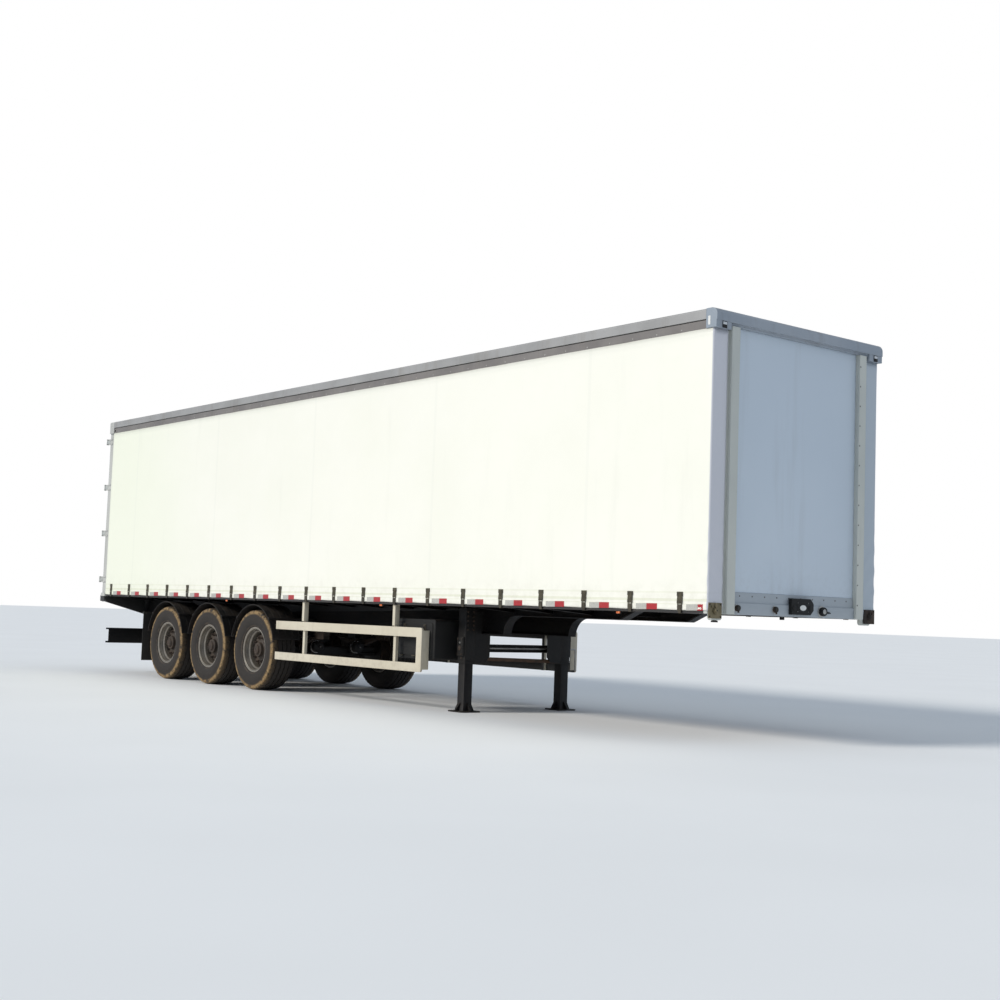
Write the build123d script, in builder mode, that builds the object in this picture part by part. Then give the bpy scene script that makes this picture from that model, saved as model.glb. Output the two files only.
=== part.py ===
from build123d import *
import os
from math import cos, degrees

os.makedirs("parts", exist_ok=True)

# Curtain-sided semi trailer on three axles with wide single tyres, in millimetres.
# +X points forward to the front wall, +Y to the left side, +Z up.
# The origin is on the ground below the middle of the body.

# Body envelope
half_length = 6650
half_width = 1250
end_overhang = 50
roof_overhang = 12
rail_bottom_z = 1210
curtain_top_z = 3862
roof_band = 188
fitting_gap = 0.3
overrun = 20
overall_half_length = half_length + end_overhang
roof_half_width = half_width + roof_overhang
roof_top_z = curtain_top_z + roof_band

# Curtains and buckles
curtain_thickness = 4
curtain_rail_gap = 6
curtain_hem_lift = 25
curtain_front_wrap = 200
curtain_rear_margin = 180
curtain_corner_radius = 24
buckle_count = 20
buckle_rear_margin = 405
buckle_front_margin = 345.5
strap_width = 46
strap_thickness = 3
strap_length = 190
buckle_width = 54
buckle_depth = 12
buckle_lift = 22
buckle_height = 70
hook_thickness = 5
hook_reach = 38
buckle_bottom_z = rail_bottom_z + buckle_lift
buckle_top_z = buckle_bottom_z + buckle_height
strap_top_z = rail_bottom_z + strap_length
buckle_span = 2 * half_length - buckle_rear_margin - buckle_front_margin
buckle_pitch = buckle_span / (buckle_count - 1)
buckle_xs = [buckle_rear_margin - half_length + buckle_pitch * i for i in range(buckle_count)]
curtain_inner_y = half_width - curtain_thickness
curtain_bottom_z = rail_bottom_z + curtain_hem_lift
curtain_rear_x = -half_length + curtain_rear_margin

# Floor and side rails
rail_outer_y = curtain_inner_y - curtain_rail_gap
rail_wall = 6
rail_flange = 50
rail_height = 135
rail_rise = 10
floor_thickness = 28
rail_top_z = rail_bottom_z + rail_height
floor_top_z = rail_top_z - rail_rise
floor_bottom_z = floor_top_z - floor_thickness
rail_inner_y = rail_outer_y - rail_flange
rail_web_y = rail_outer_y - rail_wall

# Front wall
wall_depth = 60
wall_panel_depth = 40
pillar_depth = 90
pillar_width = 114
pillar_slot = 26
post_corner_radius = 12
pillar_corner_radius = 8
wall_rail_step_depth = 46
wall_rail_step_height = 110
wall_rail_height = 210
header_depth = 140
header_height = 120
header_lip_height = 25
header_lip_set_back = 36
header_roll_radius = 70
header_corner_set_back = 8
foot_cap_height = 58
foot_cap_inset = 20
foot_cap_width = 146
foot_cap_radius = 30
foot_cap_depth = 50
wall_rear_x = half_length - wall_depth
wall_panel_x = wall_rear_x + wall_panel_depth
post_front_x = half_length - curtain_thickness - curtain_rail_gap
pillar_front_x = wall_rear_x + pillar_depth
pillar_outer_y = half_width - curtain_front_wrap - pillar_slot
pillar_inner_y = pillar_outer_y - pillar_width
wall_rail_front_x = half_length
wall_rail_step_x = wall_rear_x + wall_rail_step_depth
wall_rail_step_z = rail_bottom_z + wall_rail_step_height
wall_rail_top_z = rail_bottom_z + wall_rail_height
header_rear_x = overall_half_length - header_depth
header_roll_z = roof_top_z - header_height
header_lip_z = header_roll_z - header_lip_height
header_lip_x = overall_half_length - header_lip_set_back
header_corner_x = overall_half_length - header_corner_set_back
foot_cap_bottom_z = rail_bottom_z - foot_cap_height
foot_cap_inner_y = pillar_outer_y + foot_cap_inset
foot_cap_outer_y = foot_cap_inner_y + foot_cap_width

# Rear frame, set ahead of the closed doors
door_set_in = 10
door_thickness = 28
door_frame_gap = 5
frame_depth = 147
frame_post_width = 116
sill_depth = 90
tail_depth = 40
rear_cap_drop = 14
rear_cap_height = 66
door_outer_x = door_set_in - half_length
frame_rear_x = door_outer_x + door_thickness + door_frame_gap
frame_front_x = frame_rear_x + frame_depth
frame_inner_y = rail_outer_y - frame_post_width
sill_bottom_z = rail_bottom_z - sill_depth
rear_cap_bottom_z = rail_bottom_z - rear_cap_drop
rear_cap_top_z = rear_cap_bottom_z + rear_cap_height

# Main beams with gooseneck
beam_y = 500
beam_flange_width = 120
beam_flange_thickness = 12
beam_web = 8
beam_end_margin = 130
beam_rear_bottom_z = 940
beam_mid_bottom_z = 900
beam_slope_rear_gap = 785
beam_slope_front_gap = 1840
neck_bend_set_back = 3760
neck_bend_radius = 220
neck_rise_set_back = 1850
plate_length = 1540
plate_half_width = 560
neck_bend_x = half_length - neck_bend_set_back
neck_rise_x = half_length - neck_rise_set_back
plate_thickness = 10
plate_lift = 6
plate_lip_rise = 30
beam_front_x = half_length - beam_end_margin
plate_front_x = wall_rear_x
plate_rear_x = plate_front_x - plate_length
plate_bottom_z = rail_bottom_z + plate_lift
plate_top_z = plate_bottom_z + plate_thickness
neck_bottom_z = beam_mid_bottom_z + neck_bend_radius
beam_edge_y = beam_y + beam_flange_width / 2
beam_inner_edge_y = beam_y - beam_flange_width / 2
beam_web_outer_y = beam_y + beam_web / 2
beam_web_inner_y = beam_y - beam_web / 2

# Kingpin, hung by its flange through a hole in the coupler plate
kingpin_set_back = 1050
kingpin_flange_radius = 75
kingpin_flange_thickness = 10
kingpin_shoulder_radius = 36.5
kingpin_neck_radius = 25.4
kingpin_collar_radius = 35.7
kingpin_shoulder_length = 31
kingpin_neck_length = 35
kingpin_collar_length = 18
kingpin_x = half_length - kingpin_set_back
kingpin_hole_radius = kingpin_shoulder_radius + fitting_gap

# Cross members
member_plate = 6
member_flange = 50
member_root_drop = 45

# Roof
roof_rail_width = 70
roof_rail_step = 10
roof_step_height = 100
roof_groove = 8
roof_edge_radius = 20
roof_skin_thickness = 4
roof_skin_drop = 16
roof_rail_inner_y = roof_half_width - roof_rail_width
roof_rail_low_y = roof_half_width - roof_rail_step
roof_step_z = roof_top_z - roof_step_height
roof_skin_top_z = roof_top_z - roof_skin_drop
bow_count = 9
bow_end_margin = 710
bow_pitch = 2 * (half_length - bow_end_margin) / (bow_count - 1)
bow_width = 40
bow_depth = 46

# Side posts behind the curtains
side_post_pitch = 3300
side_post_xs = (-side_post_pitch, 0, side_post_pitch)
side_post_width = 120
side_post_depth = 40
side_post_wall = 5

# Wheels and axles
bogie_set_in = 3655
axle_pitch = 1310
bogie_x = bogie_set_in - half_length
axle_xs = (bogie_x + axle_pitch, bogie_x, bogie_x - axle_pitch)
axle_names = ("front", "middle", "rear")
tyre_radius = 542.5
tyre_half_width = 190
tyre_tread_half_width = 150
tyre_shoulder_radius = 484
tyre_bulge_radius = 400
tyre_bead_half_width = 160
wheel_centre_y = 1030
rim_flange_radius = 305
rim_seat_radius = 286
rim_well_radius = 252
rim_half_width = 155
rim_flange_width = 8
rim_well_half_width = 70
rim_wall = 8
disc_thickness = 12
disc_face_radius = 190
disc_seat_offset = 30
disc_well_offset = 20
hub_pilot_radius = 139.5
hand_hole_count = 8
hand_hole_radius = 24
hand_hole_circle = 219
hub_flange_radius = 186
hub_nose_radius = 95
hub_cap_radius = 62
hub_cap_length = 100
drum_radius = 210
drum_wall = 15
drum_inner_y = 775
axle_square = 130
axle_corner_radius = 20
axle_half_width = 752
shield_radius = 214
shield_thickness = 6
spindle_radius = 45
spindle_end_y = 1130
spindle_gap = 0.5
hub_rear_y = 795
chamber_radius = 80
chamber_length = 170
chamber_offset_x = 120
chamber_y = 330
chamber_lift = 60

# Springs
spring_width = 76
leaf_count = 6
leaf_thickness = 13
leaf_half_length = 560
leaf_step = 75
leaf_radius = 2600
spring_seat = 15
clamp_half_length = 95
clamp_thickness = 16
ubolt_radius = 10
ubolt_edge = 14
hanger_cheek = 10
hanger_pad = 60
hanger_end_offset = 655
hanger_half_length = 75
hanger_bottom_z = 715
rocker_half_length = 165
rocker_half_height = 42
rocker_end_height = 16
rocker_pin_radius = 20

# Mudguards and flaps
guard_radius = 572
guard_lift = 32
guard_sheet = 5
guard_inner_y = 815
guard_outer_margin = 15
guard_end_lift = 120
guard_bar_radius = 14
guard_bar_z = 975
guard_outer_y = half_width - guard_outer_margin
flap_gap = 795
flap_thickness = 8
flap_bottom_z = 240
flap_top_z = 940
flap_inner_y = 805
flap_outer_margin = 35
flap_bar = 30
flap_outer_y = half_width - flap_outer_margin
flap_x = axle_xs[2] - flap_gap

# Landing gear
leg_set_back = 4210
leg_y = 742
leg_tube = 120
leg_wall = 8
leg_housing_bottom_z = 560
leg_housing_drop = 10
leg_tube_top_z = 900
gearbox_depth = 24
gearbox_width = 110
gearbox_bottom_z = 640
gearbox_top_z = 860
leg_bracket_bottom_z = 930
leg_bracket_drop = 20
leg_bracket_half_width = 55
cross_bottom_z = 690
cross_top_z = 780
cross_half_width = 35
brace_half_width = 30
brace_thickness = 42
brace_near_z = 615
brace_far_z = 585
foot_size = 300
foot_corner_radius = 60
foot_plate = 14
foot_block_z = 90
foot_block_share = 0.55
shaft_radius = 14
shaft_z = 735
crank_reach = 130
crank_drop = 260
crank_radius = 10
housing_half = leg_tube / 2 + fitting_gap + leg_wall
leg_x = half_length - leg_set_back
beam_slope_rear_x = axle_xs[0] + beam_slope_rear_gap
beam_slope_front_x = leg_x - beam_slope_front_gap
leg_housing_top_z = rail_bottom_z - leg_housing_drop
leg_bracket_top_z = rail_bottom_z - leg_bracket_drop

# Side guards
side_guard_rear_gap = 600
side_guard_front_gap = 240
side_guard_margin = 38
side_guard_depth = 26
side_guard_top_zs = (840, 950)
side_guard_low_zs = (440, 540)
side_guard_return = 110
side_guard_end_width = 105
side_guard_end_radius = 30
side_guard_sheet = 4
side_guard_rear_post = 670
side_guard_front_post = 575
side_guard_post_width = 50
side_guard_post_depth = 40
side_guard_shoulder_rise = 10
side_guard_outer_y = half_width - side_guard_margin
side_guard_rear_x = axle_xs[0] + side_guard_rear_gap
side_guard_front_x = leg_x - side_guard_front_gap
side_guard_post_xs = (side_guard_rear_x + side_guard_rear_post, side_guard_front_x - side_guard_front_post)
side_guard_shoulder_z = side_guard_top_zs[1] + side_guard_shoulder_rise

# Toolbox
toolbox_front_gap = 160
toolbox_length = 780
toolbox_beam_gap = 40
toolbox_side_margin = 170
toolbox_bottom_z = 585
toolbox_top_z = 1050
toolbox_radius = 30
toolbox_lid_margin = 40
toolbox_lid_rise = 12
toolbox_bracket_inset = 140
toolbox_bracket_width = 60
toolbox_bracket_z = 950
toolbox_inner_y = beam_edge_y + toolbox_beam_gap
toolbox_outer_y = half_width - toolbox_side_margin
toolbox_front_x = leg_x - toolbox_front_gap
toolbox_rear_x = toolbox_front_x - toolbox_length
toolbox_bracket_xs = (toolbox_rear_x + toolbox_bracket_inset, toolbox_front_x - toolbox_bracket_inset)

# Air tanks
tank_gap = 130
tank_pitch = 370
tank_radius = 125
tank_half_length = 520
tank_dome = 60
tank_centre_z = 760
tank_saddle_half_width = 50
tank_xs = (beam_slope_front_x + tank_gap, beam_slope_front_x + tank_gap + tank_pitch)

# Underrun beam and its arms
underrun_set_in = 238
underrun_depth = 108
underrun_bottom_z = 460
underrun_top_z = 700
underrun_side_margin = 70
underrun_wall = 6
underrun_lip = 26
underrun_arm_depth = 90
underrun_arm_thickness = 12
plate_holder_half_width = 260
plate_holder_height = 120
underrun_web_x = underrun_set_in - half_length
underrun_half_width = half_width - underrun_side_margin

# Doors
door_edge_margin = 25
door_middle_gap = 6
door_sill_lap = 35
door_header_lap = 38
door_border = 70
door_recess = 5
hinge_set_back = 45
door_edge_y = half_width - door_edge_margin
door_bottom_z = floor_top_z - door_sill_lap
door_top_z = curtain_top_z + door_header_lap
hinge_x = door_outer_x - hinge_set_back
hinge_y = roof_half_width
hinge_zs = (1480, 2230, 2980, 3730)
hinge_height = 60
hinge_knuckle_radius = 12
hinge_pin_radius = 6
hinge_pin_gap = 0.4
hinge_axial_gap = 1
hinge_strap_thickness = 8
hinge_strap_reach = 170
hinge_lug_height = 16
hinge_plate_thickness = 10
hinge_plate_length = 90
lock_rod_inner_y = 190
lock_rod_edge_margin = 185
lock_rod_radius = 13.5
lock_rod_set_back = 22
lock_rod_overlap = 44
lock_cam_height = 30
lock_cam_half_width = 14
lock_cam_depth = 26
lock_guide_zs = (1410, 1850, 2600, 3620)
lock_guide_height = 36
lock_guide_half_width = 34
lock_handle_z = 1590
lock_handle_height = 34
lock_handle_thickness = 8
lock_handle_length = 420
keeper_cheek = 8
keeper_gap = 12
keeper_height = 34
keeper_reach = 10
lock_rod_ys = (lock_rod_inner_y, door_edge_y - lock_rod_edge_margin)
lock_rod_x = door_outer_x - lock_rod_set_back
keeper_rear_x = lock_rod_x - keeper_reach
lock_rod_bottom_z = door_bottom_z - lock_rod_overlap
lock_rod_top_z = door_top_z + lock_rod_overlap

# Lamps, buffers and service fittings
marker_margins = (4220, 8030, 12115)
marker_length = 60
marker_height = 28
marker_depth = 20
tail_lamp_gap = 30
tail_lamp_width = 320
tail_lamp_lift = 20
tail_lamp_height = 90
tail_lamp_depth = 28
tail_lamp_radius = 12
buffer_side_margin = 20
buffer_width = 120
buffer_lift = 8
buffer_height = 100
buffer_radius = 14
connector_y = 60
connector_half_width = 165
connector_lift = 22
connector_height = 156
connector_depth = 38
connector_corner = 45
round_socket_y = 390
round_socket_lift = 62
round_socket_radius = 42
round_socket_depth = 44
socket_lever_length = 110
socket_lever_height = 18
hose_coupling_side_margin = 390
hose_coupling_inner_y = 320
hose_coupling_radius = 26
hose_coupling_depth = 36
tensioner_side_margin = 8
tensioner_width = 180
tensioner_drop = 42
tensioner_height = 144
tensioner_plate = 6
tensioner_wheel_radius = 36
tensioner_wheel_depth = 26
tensioner_lever_width = 22
corner_lamp_half = 32
corner_lamp_depth = 8
marker_xs = [margin - half_length for margin in marker_margins]
tail_lamp_bottom_z = sill_bottom_z + tail_lamp_lift
tail_lamp_top_z = tail_lamp_bottom_z + tail_lamp_height
buffer_outer_y = half_width - buffer_side_margin
buffer_inner_y = buffer_outer_y - buffer_width
tail_lamp_ys = (buffer_inner_y - tail_lamp_gap - tail_lamp_width, buffer_inner_y - tail_lamp_gap)
buffer_bottom_z = sill_bottom_z + buffer_lift
buffer_top_z = buffer_bottom_z + buffer_height
hose_coupling_ys = (hose_coupling_side_margin - half_width, -hose_coupling_inner_y)
connector_bottom_z = rail_bottom_z + connector_lift
connector_top_z = connector_bottom_z + connector_height
round_socket_z = rail_bottom_z + round_socket_lift
tensioner_outer_y = half_width - tensioner_side_margin
tensioner_inner_y = tensioner_outer_y - tensioner_width
tensioner_bottom_z = rail_bottom_z - tensioner_drop
tensioner_top_z = tensioner_bottom_z + tensioner_height


def side_plane(y):
    return Plane.XZ.offset(-y)


def cross_plane(x):
    return Plane.YZ.offset(x)


def level(z):
    return Plane.XY.offset(z)


def block(xs, ys, zs, mode=Mode.ADD):
    middle = [(span[0] + span[1]) / 2 for span in (xs, ys, zs)]
    sizes = [abs(span[1] - span[0]) for span in (xs, ys, zs)]
    with Locations(tuple(middle)):
        Box(sizes[0], sizes[1], sizes[2], mode=mode)


def polygon_face(points):
    with BuildLine() as outline:
        Polyline(*points, close=True)
    make_face(outline.edges())


def finish(part, name):
    part.label = name
    export_step(part, f"parts/{name}.step")


# Main beams: welded I-sections that follow the gooseneck
def beam_outline():
    bend_x = neck_bend_x + neck_bend_radius
    with BuildLine() as outline:
        Polyline(
            (bend_x, neck_bottom_z),
            (neck_rise_x, neck_bottom_z),
            (plate_rear_x, plate_top_z),
            (beam_front_x, plate_top_z),
            (beam_front_x, floor_bottom_z),
            (frame_front_x, floor_bottom_z),
            (frame_front_x, beam_rear_bottom_z),
            (beam_slope_rear_x, beam_rear_bottom_z),
            (beam_slope_front_x, beam_mid_bottom_z),
            (neck_bend_x, beam_mid_bottom_z),
        )
        CenterArc((bend_x, beam_mid_bottom_z), neck_bend_radius, 90, 90)
    make_face(outline.edges())


with BuildPart() as main_beams:
    with BuildSketch(side_plane(beam_y)):
        beam_outline()
    extrude(amount=beam_flange_width / 2, both=True)
    for side in (-1, 1):
        with BuildSketch(side_plane(beam_y + side * beam_web / 2)):
            beam_outline()
            offset(amount=-beam_flange_thickness, kind=Kind.INTERSECTION, mode=Mode.REPLACE)
        extrude(amount=-side * beam_flange_width, mode=Mode.SUBTRACT)
    mirror(about=Plane.XZ)
finish(main_beams.part, "main_beams")


# Cross members: one piece between the beams and a tapered outrigger on each side
def build_member(root_z):
    under_z = floor_bottom_z - beam_flange_thickness
    flange_xs = (-member_flange / 2, member_flange / 2)
    plate_xs = (-member_plate / 2, member_plate / 2)
    web_ys = (-beam_web_inner_y, beam_web_inner_y)
    edge_ys = (-beam_inner_edge_y, beam_inner_edge_y)
    with BuildSketch(cross_plane(0)) as outrigger_web:
        polygon_face([
            (beam_web_outer_y, root_z),
            (beam_edge_y, root_z),
            (rail_inner_y, rail_bottom_z),
            (rail_inner_y, floor_bottom_z),
            (beam_edge_y, floor_bottom_z),
            (beam_edge_y, under_z),
            (beam_web_outer_y, under_z),
        ])
    extrude(outrigger_web.sketch, amount=member_plate / 2, both=True)
    with BuildSketch(cross_plane(0)) as outrigger_foot:
        polygon_face([
            (beam_web_outer_y, root_z),
            (beam_edge_y, root_z),
            (rail_inner_y, rail_bottom_z),
            (rail_inner_y, rail_bottom_z + member_plate),
            (beam_edge_y, root_z + member_plate),
            (beam_web_outer_y, root_z + member_plate),
        ])
    extrude(outrigger_foot.sketch, amount=member_flange / 2, both=True)
    block(flange_xs, (beam_edge_y, rail_inner_y), (floor_bottom_z - member_plate, floor_bottom_z))
    mirror(about=Plane.XZ)
    block(plate_xs, web_ys, (root_z, under_z))
    block(plate_xs, edge_ys, (under_z, floor_bottom_z))
    block(flange_xs, web_ys, (root_z, root_z + member_plate))
    block(flange_xs, edge_ys, (floor_bottom_z - member_plate, floor_bottom_z))


with BuildPart() as deep_member:
    build_member(rail_bottom_z - member_root_drop)

with BuildPart() as shallow_member:
    build_member(plate_top_z + beam_flange_thickness)

with BuildPart() as cross_members:
    with Locations([(x, 0, 0) for x in buckle_xs if x < neck_rise_x]):
        add(deep_member.part)
    with Locations([(x, 0, 0) for x in buckle_xs if x >= neck_rise_x]):
        add(shallow_member.part)
finish(cross_members.part, "cross_members")


# Side rails: a wall with a foot flange and a shelf under the floor
with BuildPart() as side_rails:
    with BuildSketch(cross_plane(frame_front_x)):
        polygon_face([
            (rail_outer_y, rail_bottom_z),
            (rail_inner_y, rail_bottom_z),
            (rail_inner_y, rail_bottom_z + rail_wall),
            (rail_web_y, rail_bottom_z + rail_wall),
            (rail_web_y, floor_bottom_z - rail_wall),
            (rail_inner_y, floor_bottom_z - rail_wall),
            (rail_inner_y, floor_bottom_z),
            (rail_web_y, floor_bottom_z),
            (rail_web_y, rail_top_z),
            (rail_outer_y, rail_top_z),
        ])
    extrude(amount=wall_rear_x - frame_front_x)
    mirror(about=Plane.XZ)
finish(side_rails.part, "side_rails")


# Coupler plate with its turned-up front edge, and the kingpin below it
with BuildPart() as coupler_plate:
    with BuildSketch(side_plane(0)):
        polygon_face([
            (plate_rear_x, plate_bottom_z),
            (beam_front_x, plate_bottom_z),
            (plate_front_x, plate_bottom_z + plate_lip_rise),
            (plate_front_x, plate_top_z + plate_lip_rise),
            (beam_front_x, plate_top_z),
            (plate_rear_x, plate_top_z),
        ])
    extrude(amount=plate_half_width, both=True)
    with BuildSketch(level(plate_bottom_z)):
        with Locations((kingpin_x, 0)):
            Circle(kingpin_hole_radius)
    extrude(amount=plate_thickness, mode=Mode.SUBTRACT)
finish(coupler_plate.part, "coupler_plate")

with BuildPart() as kingpin:
    neck_top_z = plate_bottom_z - kingpin_shoulder_length
    neck_low_z = neck_top_z - kingpin_neck_length
    pin_bottom_z = neck_low_z - kingpin_collar_length
    with BuildSketch(side_plane(0)):
        polygon_face([
            (kingpin_x, plate_top_z + kingpin_flange_thickness),
            (kingpin_x + kingpin_flange_radius, plate_top_z + kingpin_flange_thickness),
            (kingpin_x + kingpin_flange_radius, plate_top_z),
            (kingpin_x + kingpin_shoulder_radius, plate_top_z),
            (kingpin_x + kingpin_shoulder_radius, neck_top_z),
            (kingpin_x + kingpin_neck_radius, neck_top_z),
            (kingpin_x + kingpin_neck_radius, neck_low_z),
            (kingpin_x + kingpin_collar_radius, neck_low_z),
            (kingpin_x + kingpin_collar_radius, pin_bottom_z),
            (kingpin_x, pin_bottom_z),
        ])
    revolve(axis=Axis((kingpin_x, 0, 0), (0, 0, 1)))
finish(kingpin.part, "kingpin")


# Floor
with BuildPart() as floor:
    block((frame_front_x, wall_rear_x), (-rail_web_y, rail_web_y), (floor_bottom_z, floor_top_z))
finish(floor.part, "floor")


# Front wall: panel, lower rail and the two pillars with their corner posts
with BuildPart() as bulkhead_panel:
    block((wall_rear_x, wall_panel_x), (-pillar_inner_y, pillar_inner_y), (wall_rail_top_z, header_lip_z))
finish(bulkhead_panel.part, "bulkhead_panel")

with BuildPart() as bulkhead_rail:
    with BuildSketch(side_plane(0)):
        polygon_face([
            (wall_rear_x, rail_bottom_z),
            (wall_rail_front_x, rail_bottom_z),
            (wall_rail_front_x, wall_rail_step_z),
            (wall_rail_step_x, wall_rail_step_z),
            (wall_rail_step_x, wall_rail_top_z),
            (wall_rear_x, wall_rail_top_z),
        ])
    extrude(amount=pillar_inner_y, both=True)
finish(bulkhead_rail.part, "bulkhead_rail")

with BuildPart() as bulkhead_pillars:
    with BuildSketch(level(rail_bottom_z)):
        with Locations(((wall_rear_x + post_front_x) / 2, (pillar_outer_y + rail_outer_y) / 2)):
            Rectangle(post_front_x - wall_rear_x, rail_outer_y - pillar_outer_y)
    extrude(amount=curtain_top_z - rail_bottom_z)
    fillet(edges().filter_by(Axis.Z).group_by(Axis.Y)[-1].sort_by(Axis.X)[-1:], post_corner_radius)
    with BuildSketch(level(rail_bottom_z)) as pillar_section:
        with Locations(((wall_rear_x + pillar_front_x) / 2, (pillar_inner_y + pillar_outer_y) / 2)):
            Rectangle(pillar_front_x - wall_rear_x, pillar_outer_y - pillar_inner_y)
        fillet(pillar_section.vertices().sort_by(Axis.X)[-2:], pillar_corner_radius)
    extrude(amount=header_lip_z - rail_bottom_z)
    with BuildSketch(cross_plane(post_front_x)) as foot_section:
        with Locations((
            (foot_cap_inner_y + foot_cap_outer_y) / 2,
            (foot_cap_bottom_z + rail_bottom_z) / 2,
        )):
            Rectangle(foot_cap_outer_y - foot_cap_inner_y, rail_bottom_z - foot_cap_bottom_z)
        fillet(foot_section.vertices().sort_by(Axis.Y)[:2], foot_cap_radius)
    extrude(amount=-foot_cap_depth)
    mirror(about=Plane.XZ)
finish(bulkhead_pillars.part, "bulkhead_pillars")


# Front header: a rounded roll over a thin lip, with deeper corner blocks
with BuildPart() as front_header:
    with BuildSketch(side_plane(0)):
        with BuildLine() as roll:
            Polyline(
                (overall_half_length, roof_top_z - header_roll_radius),
                (overall_half_length, header_roll_z),
                (header_lip_x, header_roll_z),
                (header_lip_x, header_lip_z),
                (header_rear_x, header_lip_z),
                (header_rear_x, roof_top_z),
                (overall_half_length - header_roll_radius, roof_top_z),
            )
            CenterArc(
                (overall_half_length - header_roll_radius, roof_top_z - header_roll_radius),
                header_roll_radius,
                0,
                90,
            )
        make_face(roll.edges())
    extrude(amount=roof_half_width, both=True)
    for side in (-1, 1):
        corner_ys = (side * (half_width - curtain_front_wrap), side * roof_half_width)
        block((header_rear_x, header_corner_x), corner_ys, (curtain_top_z, header_roll_z))
finish(front_header.part, "front_header")


# Roof: skin, edge rails and bows
with BuildPart() as roof_skin:
    skin_zs = (roof_skin_top_z - roof_skin_thickness, roof_skin_top_z)
    block((frame_front_x, header_rear_x), (-roof_rail_inner_y, roof_rail_inner_y), skin_zs)
finish(roof_skin.part, "roof_skin")

with BuildPart() as roof_rails:
    with BuildSketch(cross_plane(frame_front_x)):
        with BuildLine() as edge_section:
            Polyline(
                (roof_half_width - roof_edge_radius, roof_top_z),
                (roof_rail_inner_y, roof_top_z),
                (roof_rail_inner_y, curtain_top_z),
                (roof_rail_low_y, curtain_top_z),
                (roof_rail_low_y, roof_step_z - roof_groove),
                (roof_rail_low_y - roof_groove, roof_step_z - roof_groove),
                (roof_rail_low_y - roof_groove, roof_step_z),
                (roof_half_width, roof_step_z),
                (roof_half_width, roof_top_z - roof_edge_radius),
            )
            CenterArc(
                (roof_half_width - roof_edge_radius, roof_top_z - roof_edge_radius),
                roof_edge_radius,
                0,
                90,
            )
        make_face(edge_section.edges())
    extrude(amount=header_rear_x - frame_front_x)
    mirror(about=Plane.XZ)
finish(roof_rails.part, "roof_rails")

with BuildPart() as roof_bows:
    bow_top_z = roof_skin_top_z - roof_skin_thickness
    for i in range(bow_count):
        bow_x = bow_pitch * (i - (bow_count - 1) / 2)
        bow_xs = (bow_x - bow_width / 2, bow_x + bow_width / 2)
        block(bow_xs, (-roof_rail_inner_y, roof_rail_inner_y), (bow_top_z - bow_depth, bow_top_z))
finish(roof_bows.part, "roof_bows")


# Side posts: hat sections that carry the roof behind each curtain
with BuildPart() as side_posts:
    for x in side_post_xs:
        outer_xs = (x - side_post_width / 2, x + side_post_width / 2)
        inner_xs = (outer_xs[0] + side_post_wall, outer_xs[1] - side_post_wall)
        post_ys = (rail_web_y - side_post_depth, rail_web_y)
        block(outer_xs, post_ys, (floor_top_z, curtain_top_z))
        hollow_ys = (post_ys[0] + side_post_wall, post_ys[1] + overrun)
        block(inner_xs, hollow_ys, (floor_top_z + side_post_wall, curtain_top_z - side_post_wall), Mode.SUBTRACT)
    mirror(about=Plane.XZ)
finish(side_posts.part, "side_posts")


# Rear frame: corner posts, sill, header, tapered tail, lock keepers and hinge lugs
def knuckle_plane(z):
    return Plane(origin=(hinge_x, hinge_y, z))


with BuildPart() as rear_frame:
    frame_xs = (frame_rear_x, frame_front_x)
    block(frame_xs, (frame_inner_y, rail_outer_y), (floor_top_z, curtain_top_z))
    block(frame_xs, (0, rail_outer_y), (sill_bottom_z, floor_top_z))
    block(frame_xs, (0, roof_half_width), (curtain_top_z, roof_top_z))
    header_edge = edges().filter_by(Axis.X).group_by(Axis.Z)[-1].sort_by(Axis.Y)[-1:]
    fillet(header_edge, roof_edge_radius)
    with BuildSketch(cross_plane(frame_front_x)):
        polygon_face([
            (0, beam_rear_bottom_z),
            (beam_edge_y, beam_rear_bottom_z),
            (rail_outer_y, sill_bottom_z),
            (0, sill_bottom_z),
        ])
    extrude(amount=-tail_depth)
    block((frame_rear_x, curtain_rear_x), (rail_outer_y, roof_half_width), (rear_cap_bottom_z, rear_cap_top_z))
    block((frame_rear_x, curtain_rear_x), (frame_inner_y, roof_half_width), (rear_cap_bottom_z, sill_bottom_z + overrun))
    for rod_y in lock_rod_ys:
        for keeper_z in (lock_rod_bottom_z, lock_rod_top_z):
            cheek_zs = (keeper_z - keeper_height / 2, keeper_z + keeper_height / 2)
            for side in (-1, 1):
                near_y = rod_y + side * (lock_cam_half_width + keeper_gap)
                cheek_ys = (near_y, near_y + side * keeper_cheek)
                block((keeper_rear_x, frame_rear_x), cheek_ys, cheek_zs)
    for hinge_z in hinge_zs:
        for side in (-1, 1):
            near_z = hinge_z + side * (hinge_height / 2 + hinge_axial_gap)
            lug_zs = (near_z, near_z + side * hinge_lug_height)
            plate_ys = (rail_outer_y, rail_outer_y + hinge_plate_thickness)
            block((hinge_x, frame_rear_x + hinge_plate_length), plate_ys, lug_zs)
            with BuildSketch(knuckle_plane(min(lug_zs))):
                Circle(hinge_knuckle_radius)
                with Locations((0, -hinge_knuckle_radius / 2 - hinge_plate_thickness / 2)):
                    Rectangle(hinge_knuckle_radius, hinge_knuckle_radius + hinge_plate_thickness)
            extrude(amount=hinge_lug_height)
        with BuildSketch(knuckle_plane(hinge_z)):
            Circle(hinge_pin_radius)
        extrude(amount=hinge_height / 2 + hinge_axial_gap + hinge_lug_height, both=True)
    mirror(about=Plane.XZ)
finish(rear_frame.part, "rear_frame")


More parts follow.
